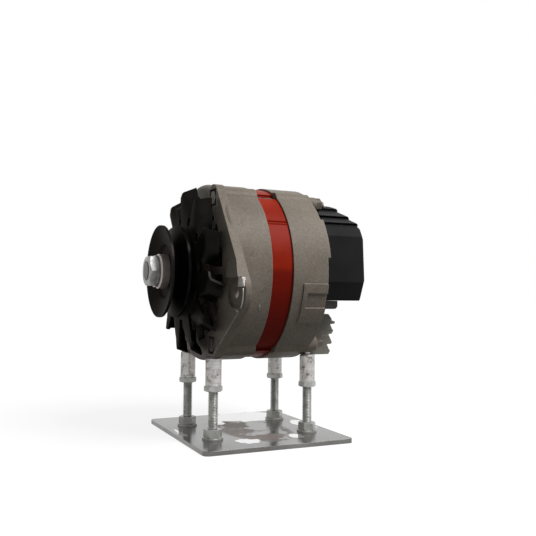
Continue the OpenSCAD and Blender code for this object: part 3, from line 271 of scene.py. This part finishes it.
def red_lacquer():
    """Red lacquer over the laminations: fine rings, run marks, grime, and painted shade that darkens it
    to wine-red below the shaft.
    """
    s = Shader("red_lacquer", (0.29, 0.025, 0.012), roughness=0.42, specular=0.05)
    cloud = s.noise(35, detail=5, seed=11)
    tone = s.ramp(cloud, [(0.25, (0.22, 0.013, 0.004)), (0.5, (0.30, 0.018, 0.006)),
                          (0.8, (0.36, 0.030, 0.011))])
    # Painted shade: the lacquer is darkened below the shaft, where less light falls
    painted_shade_below = s.math("MULTIPLY", s.below(height=1, blur=2.5), 0.85)
    tone = s.mix(painted_shade_below, tone, (0.155, 0.0075, 0.0035))
    grime = s.ramp(s.noise(140, detail=6, roughness=0.7, seed=12), [(0.58, 0.0), (0.74, 0.5)])
    tone = s.mix(grime, tone, (0.05, 0.006, 0.005))
    # The edges are lightened in noisy patches: partly worn lacquer, partly a painted highlight
    wear_and_highlight_patches = s.ramp(s.noise(260, seed=13), [(0.45, 0.0), (0.7, 0.5)])
    s.color(s.mix(s.math("MULTIPLY", s.edges(0.5), wear_and_highlight_patches), tone, (0.42, 0.12, 0.08)))
    s.rough(s.ramp(cloud, [(0.2, 0.34), (0.8, 0.5)]))
    laminations = s.add("ShaderNodeTexWave", wave_type="BANDS", bands_direction="Y")
    laminations.inputs["Scale"].default_value = 320
    laminations.inputs["Distortion"].default_value = 0.6
    s.join(s.place, laminations.inputs["Vector"])
    s.soft_edges(0.5, laminations.outputs["Fac"], strength=0.12, distance=0.0001)
    return s.material


def black_paint():
    """Satin black paint on pressed steel, greyish on its edges in patches: partly worn thin, partly a
    painted highlight.
    """
    s = Shader("black_paint", (0.02, 0.019, 0.0185), metallic=0.7, roughness=0.36, specular=0.0)
    s.principled.inputs["Specular Tint"].default_value = (0.5, 0.49, 0.48, 1)
    cloud = s.noise(45, detail=5, seed=21)
    tone = s.ramp(cloud, [(0.3, (0.007, 0.0066, 0.0062)), (0.75, (0.016, 0.015, 0.0142))])
    # The edges are lightened in noisy patches: partly worn paint, partly a painted highlight
    wear_and_highlight_patches = s.ramp(s.noise(180, seed=22), [(0.4, 0.1), (0.75, 0.75)])
    s.color(s.mix(s.math("MULTIPLY", s.edges(0.45), wear_and_highlight_patches), tone, (0.055, 0.051, 0.047)))
    s.rough(s.ramp(cloud, [(0.25, 0.3), (0.8, 0.44)]))
    s.soft_edges(0.5, s.noise(700, detail=3, seed=23), strength=0.12, distance=0.0001)
    return s.material


def black_plastic():
    """Matt black moulded plastic with a fine grain and a grey bloom."""
    s = Shader("black_plastic", (0.012, 0.0118, 0.012), roughness=0.55, specular=0.04)
    bloom = s.noise(30, detail=4, seed=31)
    tone = s.ramp(bloom, [(0.3, (0.0125, 0.0125, 0.013)), (0.75, (0.021, 0.0205, 0.021))])
    # Painted highlight: the edges are lightened
    s.color(s.mix(s.edges(0.6), tone, (0.036, 0.035, 0.035)))
    s.soft_edges(0.8, s.noise(1500, detail=2, seed=32), strength=0.2, distance=0.00008)
    return s.material


def zinc_steel():
    """Bright zinc plate with soft grey blotches."""
    s = Shader("zinc_steel", (0.5, 0.5, 0.48), metallic=0.5, roughness=0.28, specular=0.2)
    cloud = s.noise(150, detail=5, seed=41)
    tone = s.ramp(cloud, [(0.3, (0.28, 0.277, 0.262)), (0.6, (0.5, 0.5, 0.475)),
                          (0.8, (0.66, 0.66, 0.63))])
    # Painted highlight: the edges are lightened
    s.color(s.mix(s.edges(0.35), tone, (0.8, 0.8, 0.78)))
    s.rough(s.ramp(cloud, [(0.2, 0.42), (0.8, 0.24)]))
    s.soft_edges(0.35, s.noise(800, seed=42), strength=0.08, distance=0.0001)
    return s.material


def sleeve_steel():
    """Bright turned steel of the sleeves, speckled with brown rust."""
    s = Shader("sleeve_steel", (0.6, 0.58, 0.56), metallic=0.5, roughness=0.34, specular=0.2)
    turned = s.noise(60, detail=3, stretch=(1, 1, 30), seed=51)
    tone = s.ramp(turned, [(0.3, (0.48, 0.465, 0.45)), (0.7, (0.78, 0.76, 0.735))])
    rust = s.ramp(s.noise(170, detail=7, roughness=0.72, seed=52), [(0.5, 0.0), (0.64, 0.9)])
    s.color(s.mix(rust, tone, (0.115, 0.075, 0.052)))
    s.rough(s.math("ADD", s.ramp(turned, [(0.3, 0.3), (0.7, 0.4)]), s.math("MULTIPLY", rust, 0.3)))
    s.soft_edges(0.4, turned, strength=0.1, distance=0.0001)
    return s.material


# The plate's reflection patches, placed as a painted reflection, and its stained patch, centred on the
# ground: X and Y, then the reach along each
GROUND = -SHAFT_Z / MM
PATCH_HEIGHT = 60
STAINED = ((8, 4), (60, 34))
REFLECTION_CORNER = ((-52, 22), (34, 46))
REFLECTION_PATCHES = (((0, 56), (50, 21)), ((53, -18), (25, 27)), ((47, 24), (24, 18)),
               ((-34, -14), (28, 18)), ((0, -58), (40, 7)))


def plate_steel():
    """Grey sheet steel with patches of near-white, glossier metal placed to paint bright reflections,
    and dull taupe stains between them.
    """
    s = Shader("plate_steel", (0.2, 0.196, 0.192), metallic=0.8, roughness=0.16)

    def patch(spread, soft):
        place, reach = spread
        return s.spot((*place, GROUND), (*reach, PATCH_HEIGHT), soft)

    smear = s.noise(22, detail=6, roughness=0.65, seed=61)
    tone = s.ramp(smear, [(0.35, (0.13, 0.126, 0.122)), (0.65, (0.21, 0.205, 0.2))])
    reflection_spread = patch(REFLECTION_CORNER, soft=0.4)
    for spread in REFLECTION_PATCHES:
        reflection_spread = s.math("MAXIMUM", reflection_spread, patch(spread, soft=0.95))
    ragged = s.math("MULTIPLY", reflection_spread, s.noise(52, detail=8, roughness=0.62, seed=63))
    # Painted reflection: inside these patches the metal turns near-white and glossier, so bright
    # reflections show just where they are placed
    painted_reflection = s.ramp(ragged, [(0.335, 0.0), (0.35, 1.0)])
    blot = s.ramp(s.noise(27, detail=8, roughness=0.62, seed=64), [(0.46, 0.0), (0.49, 1.0)])
    stained = s.ramp(patch(STAINED, soft=0.45), [(0.2, 0.0), (0.5, 1.0)])
    stain = s.math("MULTIPLY", blot, stained)
    tone = s.mix(stain, tone, (0.19, 0.155, 0.137))
    s.color(s.mix(painted_reflection, tone, (0.85, 0.85, 0.85)))
    dull = s.math("ADD", 0.2, s.math("MULTIPLY", stain, 0.3))
    s.rough(s.math("SUBTRACT", dull, s.math("MULTIPLY", painted_reflection, 0.18)))
    matt = s.math("MULTIPLY", s.math("SUBTRACT", stain, painted_reflection), 0.6)
    s.join(s.math("SUBTRACT", 0.85, matt), s.principled.inputs["Metallic"])
    scratch = s.noise(240, detail=4, stretch=(0.05, 1, 1), seed=62)
    s.soft_edges(0.4, scratch, strength=0.05, distance=0.0001)
    return s.material


def brown_zinc():
    """Zinc plate gone brown on the through-bolts and their nuts."""
    s = Shader("brown_zinc", (0.12, 0.1, 0.082), metallic=0.4, roughness=0.42, specular=0.2)
    cloud = s.noise(190, detail=5, seed=161)
    tone = s.ramp(cloud, [(0.35, (0.07, 0.052, 0.04)), (0.7, (0.2, 0.178, 0.155))])
    # Painted highlight: the edges are lightened
    s.color(s.mix(s.edges(0.35), tone, (0.36, 0.33, 0.29)))
    s.soft_edges(0.35, s.noise(700, seed=162), strength=0.1, distance=0.0001)
    return s.material


def collar_steel():
    """Grey-brown machined steel with fine turning rings."""
    s = Shader("collar_steel", (0.34, 0.29, 0.26), metallic=0.5, roughness=0.4, specular=0.3)
    cloud = s.noise(90, detail=5, seed=71)
    tone = s.ramp(cloud, [(0.3, (0.42, 0.36, 0.325)), (0.75, (0.7, 0.625, 0.575))])
    # Painted highlight: the edges are lightened
    s.color(s.mix(s.edges(0.4), tone, (0.42, 0.39, 0.36)))
    rings = s.noise(90, detail=3, stretch=(1, 40, 1), seed=72)
    s.soft_edges(0.4, rings, strength=0.2, distance=0.0001)
    return s.material


def bare_steel():
    """Plain forged and turned steel, slightly oiled, its tone kept very dark as painted shade for the
    shaft's end in the pulley nut's recess.
    """
    s = Shader("bare_steel", (0.2, 0.195, 0.19), metallic=0.6, roughness=0.38, specular=0.2)
    cloud = s.noise(80, detail=5, seed=81)
    # Painted shade: the tone is kept very dark so the shaft's end looks shaded inside the pulley nut
    s.color(s.ramp(cloud, [(0.3, (0.03, 0.027, 0.024)), (0.7, (0.1, 0.093, 0.087))]))
    s.soft_edges(0.3, s.noise(500, seed=82), strength=0.1, distance=0.0001)
    return s.material


def bearing_steel():
    """Ground and polished bearing steel."""
    s = Shader("bearing_steel", (0.6, 0.6, 0.6), metallic=1.0, roughness=0.16)
    s.rough(s.ramp(s.noise(200, seed=91), [(0.3, 0.12), (0.7, 0.24)]))
    s.soft_edges(0.3)
    return s.material


def winding_copper():
    """Enamelled copper wire laid side by side, under brown varnish."""
    s = Shader("winding_copper", (0.34, 0.13, 0.045), metallic=0.6, roughness=0.32)
    varnish = s.noise(70, detail=5, seed=101)
    s.color(s.ramp(varnish, [(0.3, (0.20, 0.07, 0.025)), (0.7, (0.42, 0.17, 0.065))]))
    wires = s.noise(260, detail=2, stretch=(1, 1, 0.25), seed=102)
    s.soft_edges(0.3, wires, strength=0.6, distance=0.0003)
    return s.material


def ring_copper():
    """Turned copper and brass."""
    s = Shader("ring_copper", (0.50, 0.26, 0.12), metallic=0.95, roughness=0.3)
    s.color(s.ramp(s.noise(90, seed=111), [(0.3, (0.38, 0.19, 0.085)), (0.7, (0.55, 0.31, 0.15))]))
    s.soft_edges(0.3, s.noise(80, stretch=(1, 40, 1), seed=112), strength=0.15, distance=0.0001)
    return s.material


def cage_brass():
    """Pressed brass of the bearing cages."""
    s = Shader("cage_brass", (0.52, 0.38, 0.14), metallic=0.95, roughness=0.35)
    s.color(s.ramp(s.noise(120, seed=121), [(0.3, (0.40, 0.28, 0.10)), (0.7, (0.58, 0.43, 0.17))]))
    s.soft_edges(0.3)
    return s.material


def moulding(name, dark, light, seed):
    """A plain moulded plastic between two tones."""
    s = Shader(name, light, roughness=0.5, specular=0.45)
    s.color(s.ramp(s.noise(50, detail=5, seed=seed), [(0.3, dark), (0.7, light)]))
    s.soft_edges(0.5, s.noise(1200, detail=2, seed=seed + 1), strength=0.15, distance=0.0001)
    return s.material


def carbon():
    """Pressed carbon of the brushes."""
    s = Shader("carbon", (0.03, 0.03, 0.03), roughness=0.6)
    s.color(s.ramp(s.noise(400, seed=131), [(0.4, 0.02), (0.7, 0.05)]))
    s.soft_edges(0.3)
    return s.material


MATERIALS = {
    "cast_aluminium": cast_aluminium(),
    "sink_aluminium": sink_aluminium(),
    "red_lacquer": red_lacquer(),
    "black_paint": black_paint(),
    "black_plastic": black_plastic(),
    "zinc_steel": zinc_steel(),
    "sleeve_steel": sleeve_steel(),
    "plate_steel": plate_steel(),
    "collar_steel": collar_steel(),
    "bare_steel": bare_steel(),
    "bush_steel": bare_steel(),
    "bearing_steel": bearing_steel(),
    "winding_copper": winding_copper(),
    "ring_copper": ring_copper(),
    "cage_brass": cage_brass(),
    "grey_plastic": moulding("grey_plastic", (0.035, 0.032, 0.028), (0.062, 0.057, 0.05), 141),
    "brown_plastic": moulding("brown_plastic", (0.05, 0.022, 0.012), (0.10, 0.045, 0.024), 145),
    "bobbin_plastic": moulding("bobbin_plastic", (0.48, 0.45, 0.36), (0.62, 0.59, 0.49), 149),
    "regulator_case": moulding("regulator_case", (0.012, 0.014, 0.014), (0.03, 0.034, 0.034), 153),
    "carbon": carbon(),
}
WORN_ALUMINIUM = worn_aluminium()
BROWN_ZINC = brown_zinc()


def finish_nodes():
    """Gives every CAD node the material of its slot, and the through-bolts their browner zinc."""
    for row in frame["record"]["subparts"]:
        mesh = NODES[row["node"]].data
        mesh.materials.clear()
        mesh.materials.append(MATERIALS[row["material_slot"]])
    for node in ("through_bolts", "through_bolt_nuts"):
        NODES[node].data.materials[0] = BROWN_ZINC


# Pieces made here
EDGE_ANGLE = 40


def new_piece(name, verts, faces, material, body, smooth=True):
    """A mesh object from points in metres, with its material, riding on a body."""
    mesh = bpy.data.meshes.new(name)
    mesh.from_pydata(verts, [], faces)
    mesh.validate()
    mesh.polygons.foreach_set("use_smooth", [smooth] * len(mesh.polygons))
    mesh.materials.append(MATERIALS[material])
    piece = bpy.data.objects.new(name, mesh)
    bpy.context.scene.collection.objects.link(piece)
    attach(piece, body)
    return piece


def round_edges(piece, width):
    """Rounds a piece's sharp edges by a width in millimetres, with clean shading."""
    bevel = piece.modifiers.new("edges", "BEVEL")
    bevel.width = width * MM
    bevel.segments = 2
    bevel.limit_method = "ANGLE"
    bevel.angle_limit = math.radians(EDGE_ANGLE)
    bevel.harden_normals = True


# Threaded rods of the stand: M8, coarse thread
ROD_R = 4.0
ROD_ROOT_R = 3.35
ROD_PITCH = 1.25
ROD_LEAD_IN = 0.8
ROD_POINTS_AROUND = 32
ROD_ROWS_PER_TURN = 6
# How steeply the thread rises from its root to its crest
ROD_FLANK = 2.5


def thread_grid(length):
    """Points and faces of a threaded rod along +Z from 0 to its length, all in millimetres."""
    around = ROD_POINTS_AROUND
    rows = int(length / ROD_PITCH * ROD_ROWS_PER_TURN)
    points = [(0, 0, 0)]
    for i in range(rows + 1):
        z = length * i / rows
        end = min(z, length - z) / ROD_LEAD_IN
        cap = ROD_R if end >= 1 else ROD_R - (1 - end) * (ROD_R - ROD_ROOT_R)
        for j in range(around):
            angle = 2 * math.pi * j / around
            phase = (z / ROD_PITCH - j / around) % 1
            crest = min(1, max(0, ROD_FLANK * (0.5 - abs(phase - 0.5))))
            r = min(cap, ROD_ROOT_R + (ROD_R - ROD_ROOT_R) * crest)
            points.append((r * math.cos(angle), r * math.sin(angle), z))
    points.append((0, 0, length))
    last = len(points) - 1
    faces = []
    for i in range(rows):
        for j in range(around):
            a = 1 + i * around + j
            b = 1 + i * around + (j + 1) % around
            faces.append((a, b, b + around, a + around))
    top = 1 + rows * around
    for j in range(around):
        faces.append((0, 1 + (j + 1) % around, 1 + j))
        faces.append((last, top + j, top + (j + 1) % around))
    return points, faces


def threaded_rods():
    """Four rods with real threads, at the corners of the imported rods' box."""
    low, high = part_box("leg_rods")
    r = ROD_R * MM
    points, faces = thread_grid((high.z - low.z) / MM)
    places = [(x, y) for x in (low.x + r, high.x - r) for y in (low.y + r, high.y - r)]
    for k, (x, y) in enumerate(places):
        verts = [(x + p[0] * MM, y + p[1] * MM, low.z + p[2] * MM) for p in points]
        rod = new_piece(f"threaded_rod_{k + 1}", verts, faces, "zinc_steel", "stand")
        if k == 0:
            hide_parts("leg_rods")


# Fan, pressed from one sheet. Its folds' outer ends are unevenly spaced round the shaft against whine
FOLD_ANGLES = (60.1, 92.0, 122.0, 149.0, 176.0, 202.5, 228.8, 260.4, 292.0, 323.5, 355.3, 388.8)
FAN_FRONT_Y = -59.2
FAN_SHEET = 2.2
FAN_BORE_R = 8.6
FAN_HUB_R = 40
FAN_R = 66
FAN_EDGE = 0.4
DISC_RINGS = (FAN_BORE_R, 17.0, 26.0, 34.0, FAN_HUB_R)
# A blade's free end: its angle in degrees and its rounded corner
FREE_ANGLE = 67
FREE_CORNER_R = 5
# A vane: where it ends, how far it leans and widens outwards, and the radius of its bend
VANE_END_Y = -48.2
VANE_LEAN = math.radians(29)
VANE_FLARE = 1.6
BEND_R = 2.9
# The fold of a vane: height above the shaft, X, and how far the sheet is dished towards the rear
FOLD = [(31.0, 31.6, 0.3), (35.0, 32.2, 0.5), (39.0, 33.2, 0.9), (43.0, 34.2, 1.2), (46.0, 33.6, 1.2),
        (49.0, 31.6, 0.7), (52.0, 30.4, 0.2), (55.5, 30.0, 0.0), (58.7, 29.8, 0.0)]
# Height and X of the point that the fold heads for at the hub
FOLD_ROOT = (28.5, 29.2)
# Faces across a blade, round its bend, along its vane and along the notch between two blades
BLADE_STEPS = 10
BEND_STEPS = 5
VANE_STEPS = 4
NOTCH_STEPS = 5


def free_edge(s):
    """A blade's free end: a radial line from the hub out, rounded off at the corner."""
    reach = FAN_HUB_R + (FAN_R - FAN_HUB_R) * s
    into = max(0.0, reach - (FAN_R - FREE_CORNER_R)) / FREE_CORNER_R
    back = FREE_CORNER_R * (1 - math.sqrt(max(0.0, 1 - into * into)))
    angle = math.radians(FREE_ANGLE) - back / reach
    return reach * math.cos(angle), reach * math.sin(angle)


def fan_blade():
    """Rows of points across one blade from its free end over the fold to the vane's rear edge, each
    point as X, height above the shaft and depth behind the disc's middle plane."""
    hub_angle = math.atan2(*FOLD_ROOT)
    folds = [(FAN_HUB_R * math.cos(hub_angle), FAN_HUB_R * math.sin(hub_angle), 0.0)]
    folds += [(x, z, dish) for z, x, dish in FOLD]
    depth = VANE_END_Y - FAN_FRONT_Y - FAN_SHEET / 2
    bend = math.pi / 2 - VANE_LEAN
    rows = []
    for i, (fold_x, fold_z, dish) in enumerate(folds):
        free_x, free_z = free_edge(i / (len(folds) - 1))
        row = []
        for j in range(BLADE_STEPS + 1):
            t = j / BLADE_STEPS
            row.append((free_x + (fold_x - free_x) * t, free_z + (fold_z - free_z) * t, dish * t ** 3))
        if i > 0:
            for k in range(1, BEND_STEPS + 1):
                a = bend * k / BEND_STEPS
                row.append((fold_x + BEND_R * math.sin(a), fold_z, dish + BEND_R * (1 - math.cos(a))))
            x, z, y = row[-1]
            flare = VANE_FLARE * i / len(folds)
            for k in range(1, VANE_STEPS + 1):
                t = k / VANE_STEPS
                lean = (depth - y) * t * math.tan(VANE_LEAN)
                row.append((x + lean, z + flare * t, y + (depth - y) * t))
        rows.append(row)
    return rows


def fan_mesh():
    """The fan's middle surface: a disc with twelve blades, each folded into a vane over the notch."""
    mesh = bmesh.new()
    middle_y = FAN_FRONT_Y + FAN_SHEET / 2

    def vert(x, z, depth, turn):
        c, s = math.cos(turn), math.sin(turn)
        return mesh.verts.new(at(x * c - z * s, middle_y + depth, x * s + z * c))

    def fill(lines):
        for low, high in zip(lines, lines[1:]):
            for j in range(min(len(low), len(high)) - 1):
                mesh.faces.new((low[j], low[j + 1], high[j + 1], high[j]))

    rows = fan_blade()
    root = rows[0]
    root_from = math.atan2(root[-1][1], root[-1][0])
    free_to = math.radians(FREE_ANGLE)
    outer_fold = math.atan2(FOLD[-1][0], FOLD[-1][1])
    for blade, place in enumerate(FOLD_ANGLES):
        before = FOLD_ANGLES[blade - 1] if blade else FOLD_ANGLES[-1] - 360
        notch = free_to - math.radians(place - before) - root_from
        turn = math.radians(place) - outer_fold
        fill([[vert(*point, turn) for point in row] for row in rows])
        angles = [math.atan2(point[1], point[0]) for point in root]
        angles += [root_from + notch * k / NOTCH_STEPS for k in range(1, NOTCH_STEPS + 1)]
        fill([[vert(r * math.cos(a), r * math.sin(a), 0, turn) for a in angles] for r in DISC_RINGS])
    bmesh.ops.remove_doubles(mesh, verts=mesh.verts, dist=0.02 * MM)
    bmesh.ops.recalc_face_normals(mesh, faces=mesh.faces)
    data = bpy.data.meshes.new("pressed_fan")
    mesh.to_mesh(data)
    mesh.free()
    return data


def pressed_fan():
    """The fan as a sheet with its real thickness and rounded edges."""
    data = fan_mesh()
    data.polygons.foreach_set("use_smooth", [True] * len(data.polygons))
    data.materials.append(MATERIALS["black_paint"])
    fan = bpy.data.objects.new("pressed_fan", data)
    bpy.context.scene.collection.objects.link(fan)
    thick = fan.modifiers.new("sheet", "SOLIDIFY")
    thick.thickness = FAN_SHEET * MM
    thick.offset = 0
    thick.use_even_offset = True
    round_edges(fan, FAN_EDGE)
    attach(fan, "rotor")
    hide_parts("fan")


# Lacquered band over the stator core, with gaps at the through-bolts. Angles are in degrees
BAND_FRONT_Y = -10.1
BAND_REAR_Y = 8.6
BAND_R = 72.5
BAND_INNER_R = 70.6
# The through-bolts round the shaft, with the first again after a full turn
BAND_BOLTS = (-60, 60, 120, 240, 300)
BAND_GAP = 3.3
BAND_STEPS_PER_DEGREE = 4
BAND_EDGE = 0.25
# Double ridges, and single grooves: where they are, how wide and how high
RIDGE_ANGLES = (32.5, 147.5)
RIDGE_APART = 1.1
RIDGE_WIDTH = 0.5
RIDGE_HEIGHT = 0.8
RIDGE_GROOVE = 0.5
SEAM_ANGLES = (-31.5, 82.0, 98.0, 174.4, 211.5, 262.0, 278.0)
SEAM_WIDTH = 0.3
SEAM_DEPTH = 0.45


def swell(angle, place, width):
    """1 at a place round the band, falling away over a width in degrees."""
    away = (angle - place + 180) % 360 - 180
    return math.exp(-(away / width) ** 2)


def band_radius(angle):
    """The band's radius at an angle: a double ridge at some places and a fine groove at others."""
    radius = BAND_R
    for place in RIDGE_ANGLES:
        for side in (-RIDGE_APART, RIDGE_APART):
            radius += RIDGE_HEIGHT * swell(angle, place + side, RIDGE_WIDTH)
        radius -= RIDGE_GROOVE * swell(angle, place, RIDGE_WIDTH)
    for place in SEAM_ANGLES:
        radius -= SEAM_DEPTH * swell(angle, place, SEAM_WIDTH)
    return radius


def lacquer_band():
    """Four curved shells between the through-bolts, which show in the gaps."""
    for k, (bolt, next_bolt) in enumerate(zip(BAND_BOLTS, BAND_BOLTS[1:])):
        start = bolt + BAND_GAP
        end = next_bolt - BAND_GAP
        count = int((end - start) * BAND_STEPS_PER_DEGREE)
        verts = []
        for i in range(count + 1):
            degrees = start + (end - start) * i / count
            a = math.radians(degrees)
            outer = band_radius(degrees)
            for r, y in ((BAND_INNER_R, BAND_FRONT_Y), (outer, BAND_FRONT_Y), (outer, BAND_REAR_Y),
                         (BAND_INNER_R, BAND_REAR_Y)):
                verts.append(at(r * math.cos(a), y, r * math.sin(a)))
        faces = [(3, 2, 1, 0), tuple(4 * count + j for j in range(4))]
        for i in range(count):
            for j in range(4):
                a, b = 4 * i + j, 4 * i + (j + 1) % 4
                faces.append((a, b, b + 4, a + 4))
        band = new_piece(f"lacquer_band_{k + 1}", verts, faces, "red_lacquer", "housing")
        round_edges(band, BAND_EDGE)


# Step and worn edges of the front bracket. Points are X, Y and height
LIP_FRONT = ((87.6, -45.1, -13.0), (97.0, -43.6, -13.0), (95.2, -44.6, -6.4), (90.4, -45.1, -3.5))
LIP_REAR_Y = -41.5
LIP_EDGE = 0.5
EAR_X = 80
EAR_HEIGHT = -17
EAR_RIM_R = 17.4
EAR_RIM_Y = -44.4
EAR_RIM_ANGLES = range(10, -56, -6)
EAR_FOOT = ((90.0, -44.9, -31.4), (86.0, -45.0, -30.2), (82.0, -45.0, -29.2))
FLANGE_EDGE = ((89.6, -44.9, -31.6), (64.4, -44.9, -49.0), (39.6, -44.9, -66.2))
DRUM_CHIP = ((69.2, -18.5, -26.4), (68.2, -18.5, -28.9), (67.2, -17.3, -31.2))
WEAR_SIDES = 6


def worn_line(name, points, radius):
    """A thin bright ridge along an edge of the casting, through points of X, Y and height."""
    sides = WEAR_SIDES
    verts = []
    for i, (x, y, z) in enumerate(points):
        before = points[max(i - 1, 0)]
        after = points[min(i + 1, len(points) - 1)]
        along = math.atan2(after[2] - before[2], after[0] - before[0])
        for k in range(sides):
            angle = 2 * math.pi * k / sides
            out = radius * math.cos(angle)
            verts.append(at(x - out * math.sin(along), y + radius * math.sin(angle),
                            z + out * math.cos(along)))
    faces = [tuple(range(sides)), tuple(reversed(range(len(verts) - sides, len(verts))))]
    for i in range(len(points) - 1):
        for k in range(sides):
            a = i * sides + k
            b = i * sides + (k + 1) % sides
            faces.append((b, a, a + sides, b + sides))
    piece = new_piece(name, verts, faces, "cast_aluminium", "housing")
    piece.data.materials[0] = WORN_ALUMINIUM


def ear_details():
    """The step that closes the ear's recess at the top, and the worn edges round it."""
    verts = [at(*point) for point in LIP_FRONT]
    verts += [at(x, LIP_REAR_Y, z) for x, _, z in LIP_FRONT]
    faces = [(0, 1, 2, 3), (7, 6, 5, 4), (0, 4, 5, 1), (1, 5, 6, 2), (2, 6, 7, 3), (3, 7, 4, 0)]
    lip = new_piece("ear_recess_lip", verts, faces, "cast_aluminium", "housing", smooth=False)
    lip.data.materials[0] = WORN_ALUMINIUM
    round_edges(lip, LIP_EDGE)
    rim = [(EAR_X + EAR_RIM_R * math.cos(math.radians(a)), EAR_RIM_Y,
            EAR_HEIGHT + EAR_RIM_R * math.sin(math.radians(a))) for a in EAR_RIM_ANGLES]
    worn_line("ear_rim_wear", rim, radius=0.45)
    worn_line("ear_foot_wear", EAR_FOOT, radius=0.4)
    worn_line("flange_edge_wear", FLANGE_EDGE, radius=0.22)
    worn_line("drum_chip", DRUM_CHIP, radius=0.3)


# Side walls of the heat sink, with their top SINK_TOP below the shaft
SINK_TOP = 35
SINK_HEIGHT = 35
SINK_FRONT_Y = 46
SINK_END_Y = 74
SINK_FINS = 4
FIN_LEAN = 1.6
# The top corner: Y from the sink's end, and height from its top
SINK_CORNER = ((-7, 0), (-3.4, -4.4), (-4, -5.375))
# The fins and what follows below each: Y from the fin's end, and height from its foot
POINTED_FIN = ((-0.4, 2.2), (-0.2, 1.2), (-1, 0.2))
BLUNT_FIN = ((-1.4, 4.2), (-0.2, 3.2), (-2, 0.2))
UNDER_FIN = (-5.1, -0.2)
UNDER_LAST_FIN = (-2, 0)
# How deep a wall's two faces lie in the sink's side
WALL_FACES = (0.02, 1.5)


def sink_profile():
    """The heat sink's outline as Y and height: a stepped top corner, then pointed and blunt fins."""
    profile = [(SINK_FRONT_Y, -SINK_TOP)]
    profile += [(SINK_END_Y + y, z - SINK_TOP) for y, z in SINK_CORNER]
    for k in range(SINK_FINS):
        foot = -SINK_TOP - (k + 1) * SINK_HEIGHT / SINK_FINS
        end = SINK_END_Y - k * FIN_LEAN
        fin = BLUNT_FIN if k % 2 else POINTED_FIN
        under = UNDER_LAST_FIN if k == SINK_FINS - 1 else UNDER_FIN
        profile += [(end + y, foot + z) for y, z in (*fin, under)]
    profile.append((SINK_FRONT_Y, -SINK_TOP - SINK_HEIGHT))
    return profile


def sink_walls():
    """The two side walls of the heat sink's extrusion, which close the screw pockets."""
    profile = sink_profile()
    low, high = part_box("heat_sink")
    n = len(profile)
    for side, x, inward in (("right", high.x, -1), ("left", low.x, 1)):
        verts = [(x + inward * depth * MM, y * MM, SHAFT_Z + z * MM)
                 for depth in WALL_FACES for y, z in profile]
        faces = [tuple(range(n)), tuple(reversed(range(n, 2 * n)))]
        faces += [(k, (k + 1) % n, n + (k + 1) % n, n + k) for k in range(n)]
        new_piece(f"sink_wall_{side}", verts, faces, "sink_aluminium", "housing", smooth=False)


# Stage, light and camera
def seen_directly(tree):
    """1 where the camera, a mirror or glass looks at the surface, 0 where it only gives light."""
    path = tree.nodes.new("ShaderNodeLightPath")
    seen = path.outputs["Is Camera Ray"]
    for name in ("Is Glossy Ray", "Is Transmission Ray"):
        either = tree.nodes.new("ShaderNodeMath")
        either.operation = "MAXIMUM"
        tree.links.new(seen, either.inputs[0])
        tree.links.new(path.outputs[name], either.inputs[1])
        seen = either.outputs["Value"]
    return seen


def make_stage():
    """A pale floor that looks white and keeps the object's shadow."""
    bpy.ops.mesh.primitive_plane_add(size=FLOOR_SIZE, location=(0, 0, 0))
    floor = bpy.context.object
    floor.name = "floor"
    s = Shader("pale_floor", (0.22, 0.22, 0.22), roughness=0.9, specular=0.1)
    s.join(seen_directly(s.tree), s.principled.inputs["Emission Strength"])
    distance = s.add("ShaderNodeVectorMath", operation="LENGTH")
    s.join(s.place, distance.inputs[0])
    glow = s.ramp(distance.outputs["Value"], [(GLOW_NEAR, FLOOR_GLOW), (GLOW_FAR, 1.0)])
    s.join(glow, s.principled.inputs["Emission Color"])
    floor.data.materials.append(s.material)


def make_world():
    """White to the camera and to mirrors, and a soft even light for the rest."""
    world = bpy.data.worlds.new("studio")
    bpy.context.scene.world = world
    world.use_nodes = True
    tree = world.node_tree
    soft = tree.nodes["Background"]
    white = tree.nodes.new("ShaderNodeBackground")
    for background, strength in ((soft, AMBIENT), (white, 1)):
        background.inputs["Color"].default_value = (1, 1, 1, 1)
        background.inputs["Strength"].default_value = strength
    mix = tree.nodes.new("ShaderNodeMixShader")
    tree.links.new(seen_directly(tree), mix.inputs["Fac"])
    tree.links.new(soft.outputs["Background"], mix.inputs[1])
    tree.links.new(white.outputs["Background"], mix.inputs[2])
    tree.links.new(mix.outputs["Shader"], tree.nodes["World Output"].inputs["Surface"])


def make_key_light():
    """One square area light, high up on the camera's right."""
    light = bpy.data.lights.new("key", "AREA")
    light.shape = "RECTANGLE"
    light.size = KEY_SIZE
    light.size_y = KEY_SIZE
    light.energy = KEY_POWER
    lamp = bpy.data.objects.new("key", light)
    lamp.location = KEY_PLACE
    lamp.rotation_mode = "QUATERNION"
    lamp.rotation_quaternion = (KEY_AIM - KEY_PLACE).to_track_quat("-Z", "Y")
    bpy.context.scene.collection.objects.link(lamp)


def make_camera():
    """The camera at its place, turned by its yaw, pitch and roll."""
    yaw, pitch, roll = (math.radians(a) for a in (CAMERA_YAW, CAMERA_PITCH, CAMERA_ROLL))
    ahead = Vector((-math.sin(yaw) * math.cos(pitch), math.cos(yaw) * math.cos(pitch), math.sin(pitch)))
    right = ahead.cross(Vector((0, 0, 1))).normalized()
    up = right.cross(ahead)
    turned_right = math.cos(roll) * right + math.sin(roll) * up
    turned_up = -math.sin(roll) * right + math.cos(roll) * up
    data = bpy.data.cameras.new("camera")
    data.sensor_width = CAMERA_SENSOR
    data.lens = CAMERA_LENS
    camera = bpy.data.objects.new("camera", data)
    camera.matrix_world = Matrix.Translation(CAMERA_PLACE) @ Matrix(
        (turned_right, turned_up, -ahead)).transposed().to_4x4()
    bpy.context.scene.collection.objects.link(camera)
    bpy.context.scene.camera = camera


# The scene, piece by piece
finish_nodes()
threaded_rods()
pressed_fan()
lacquer_band()
ear_details()
sink_walls()
make_stage()
make_world()
make_key_light()
make_camera()
bpy.context.scene.view_settings.view_transform = "Standard"
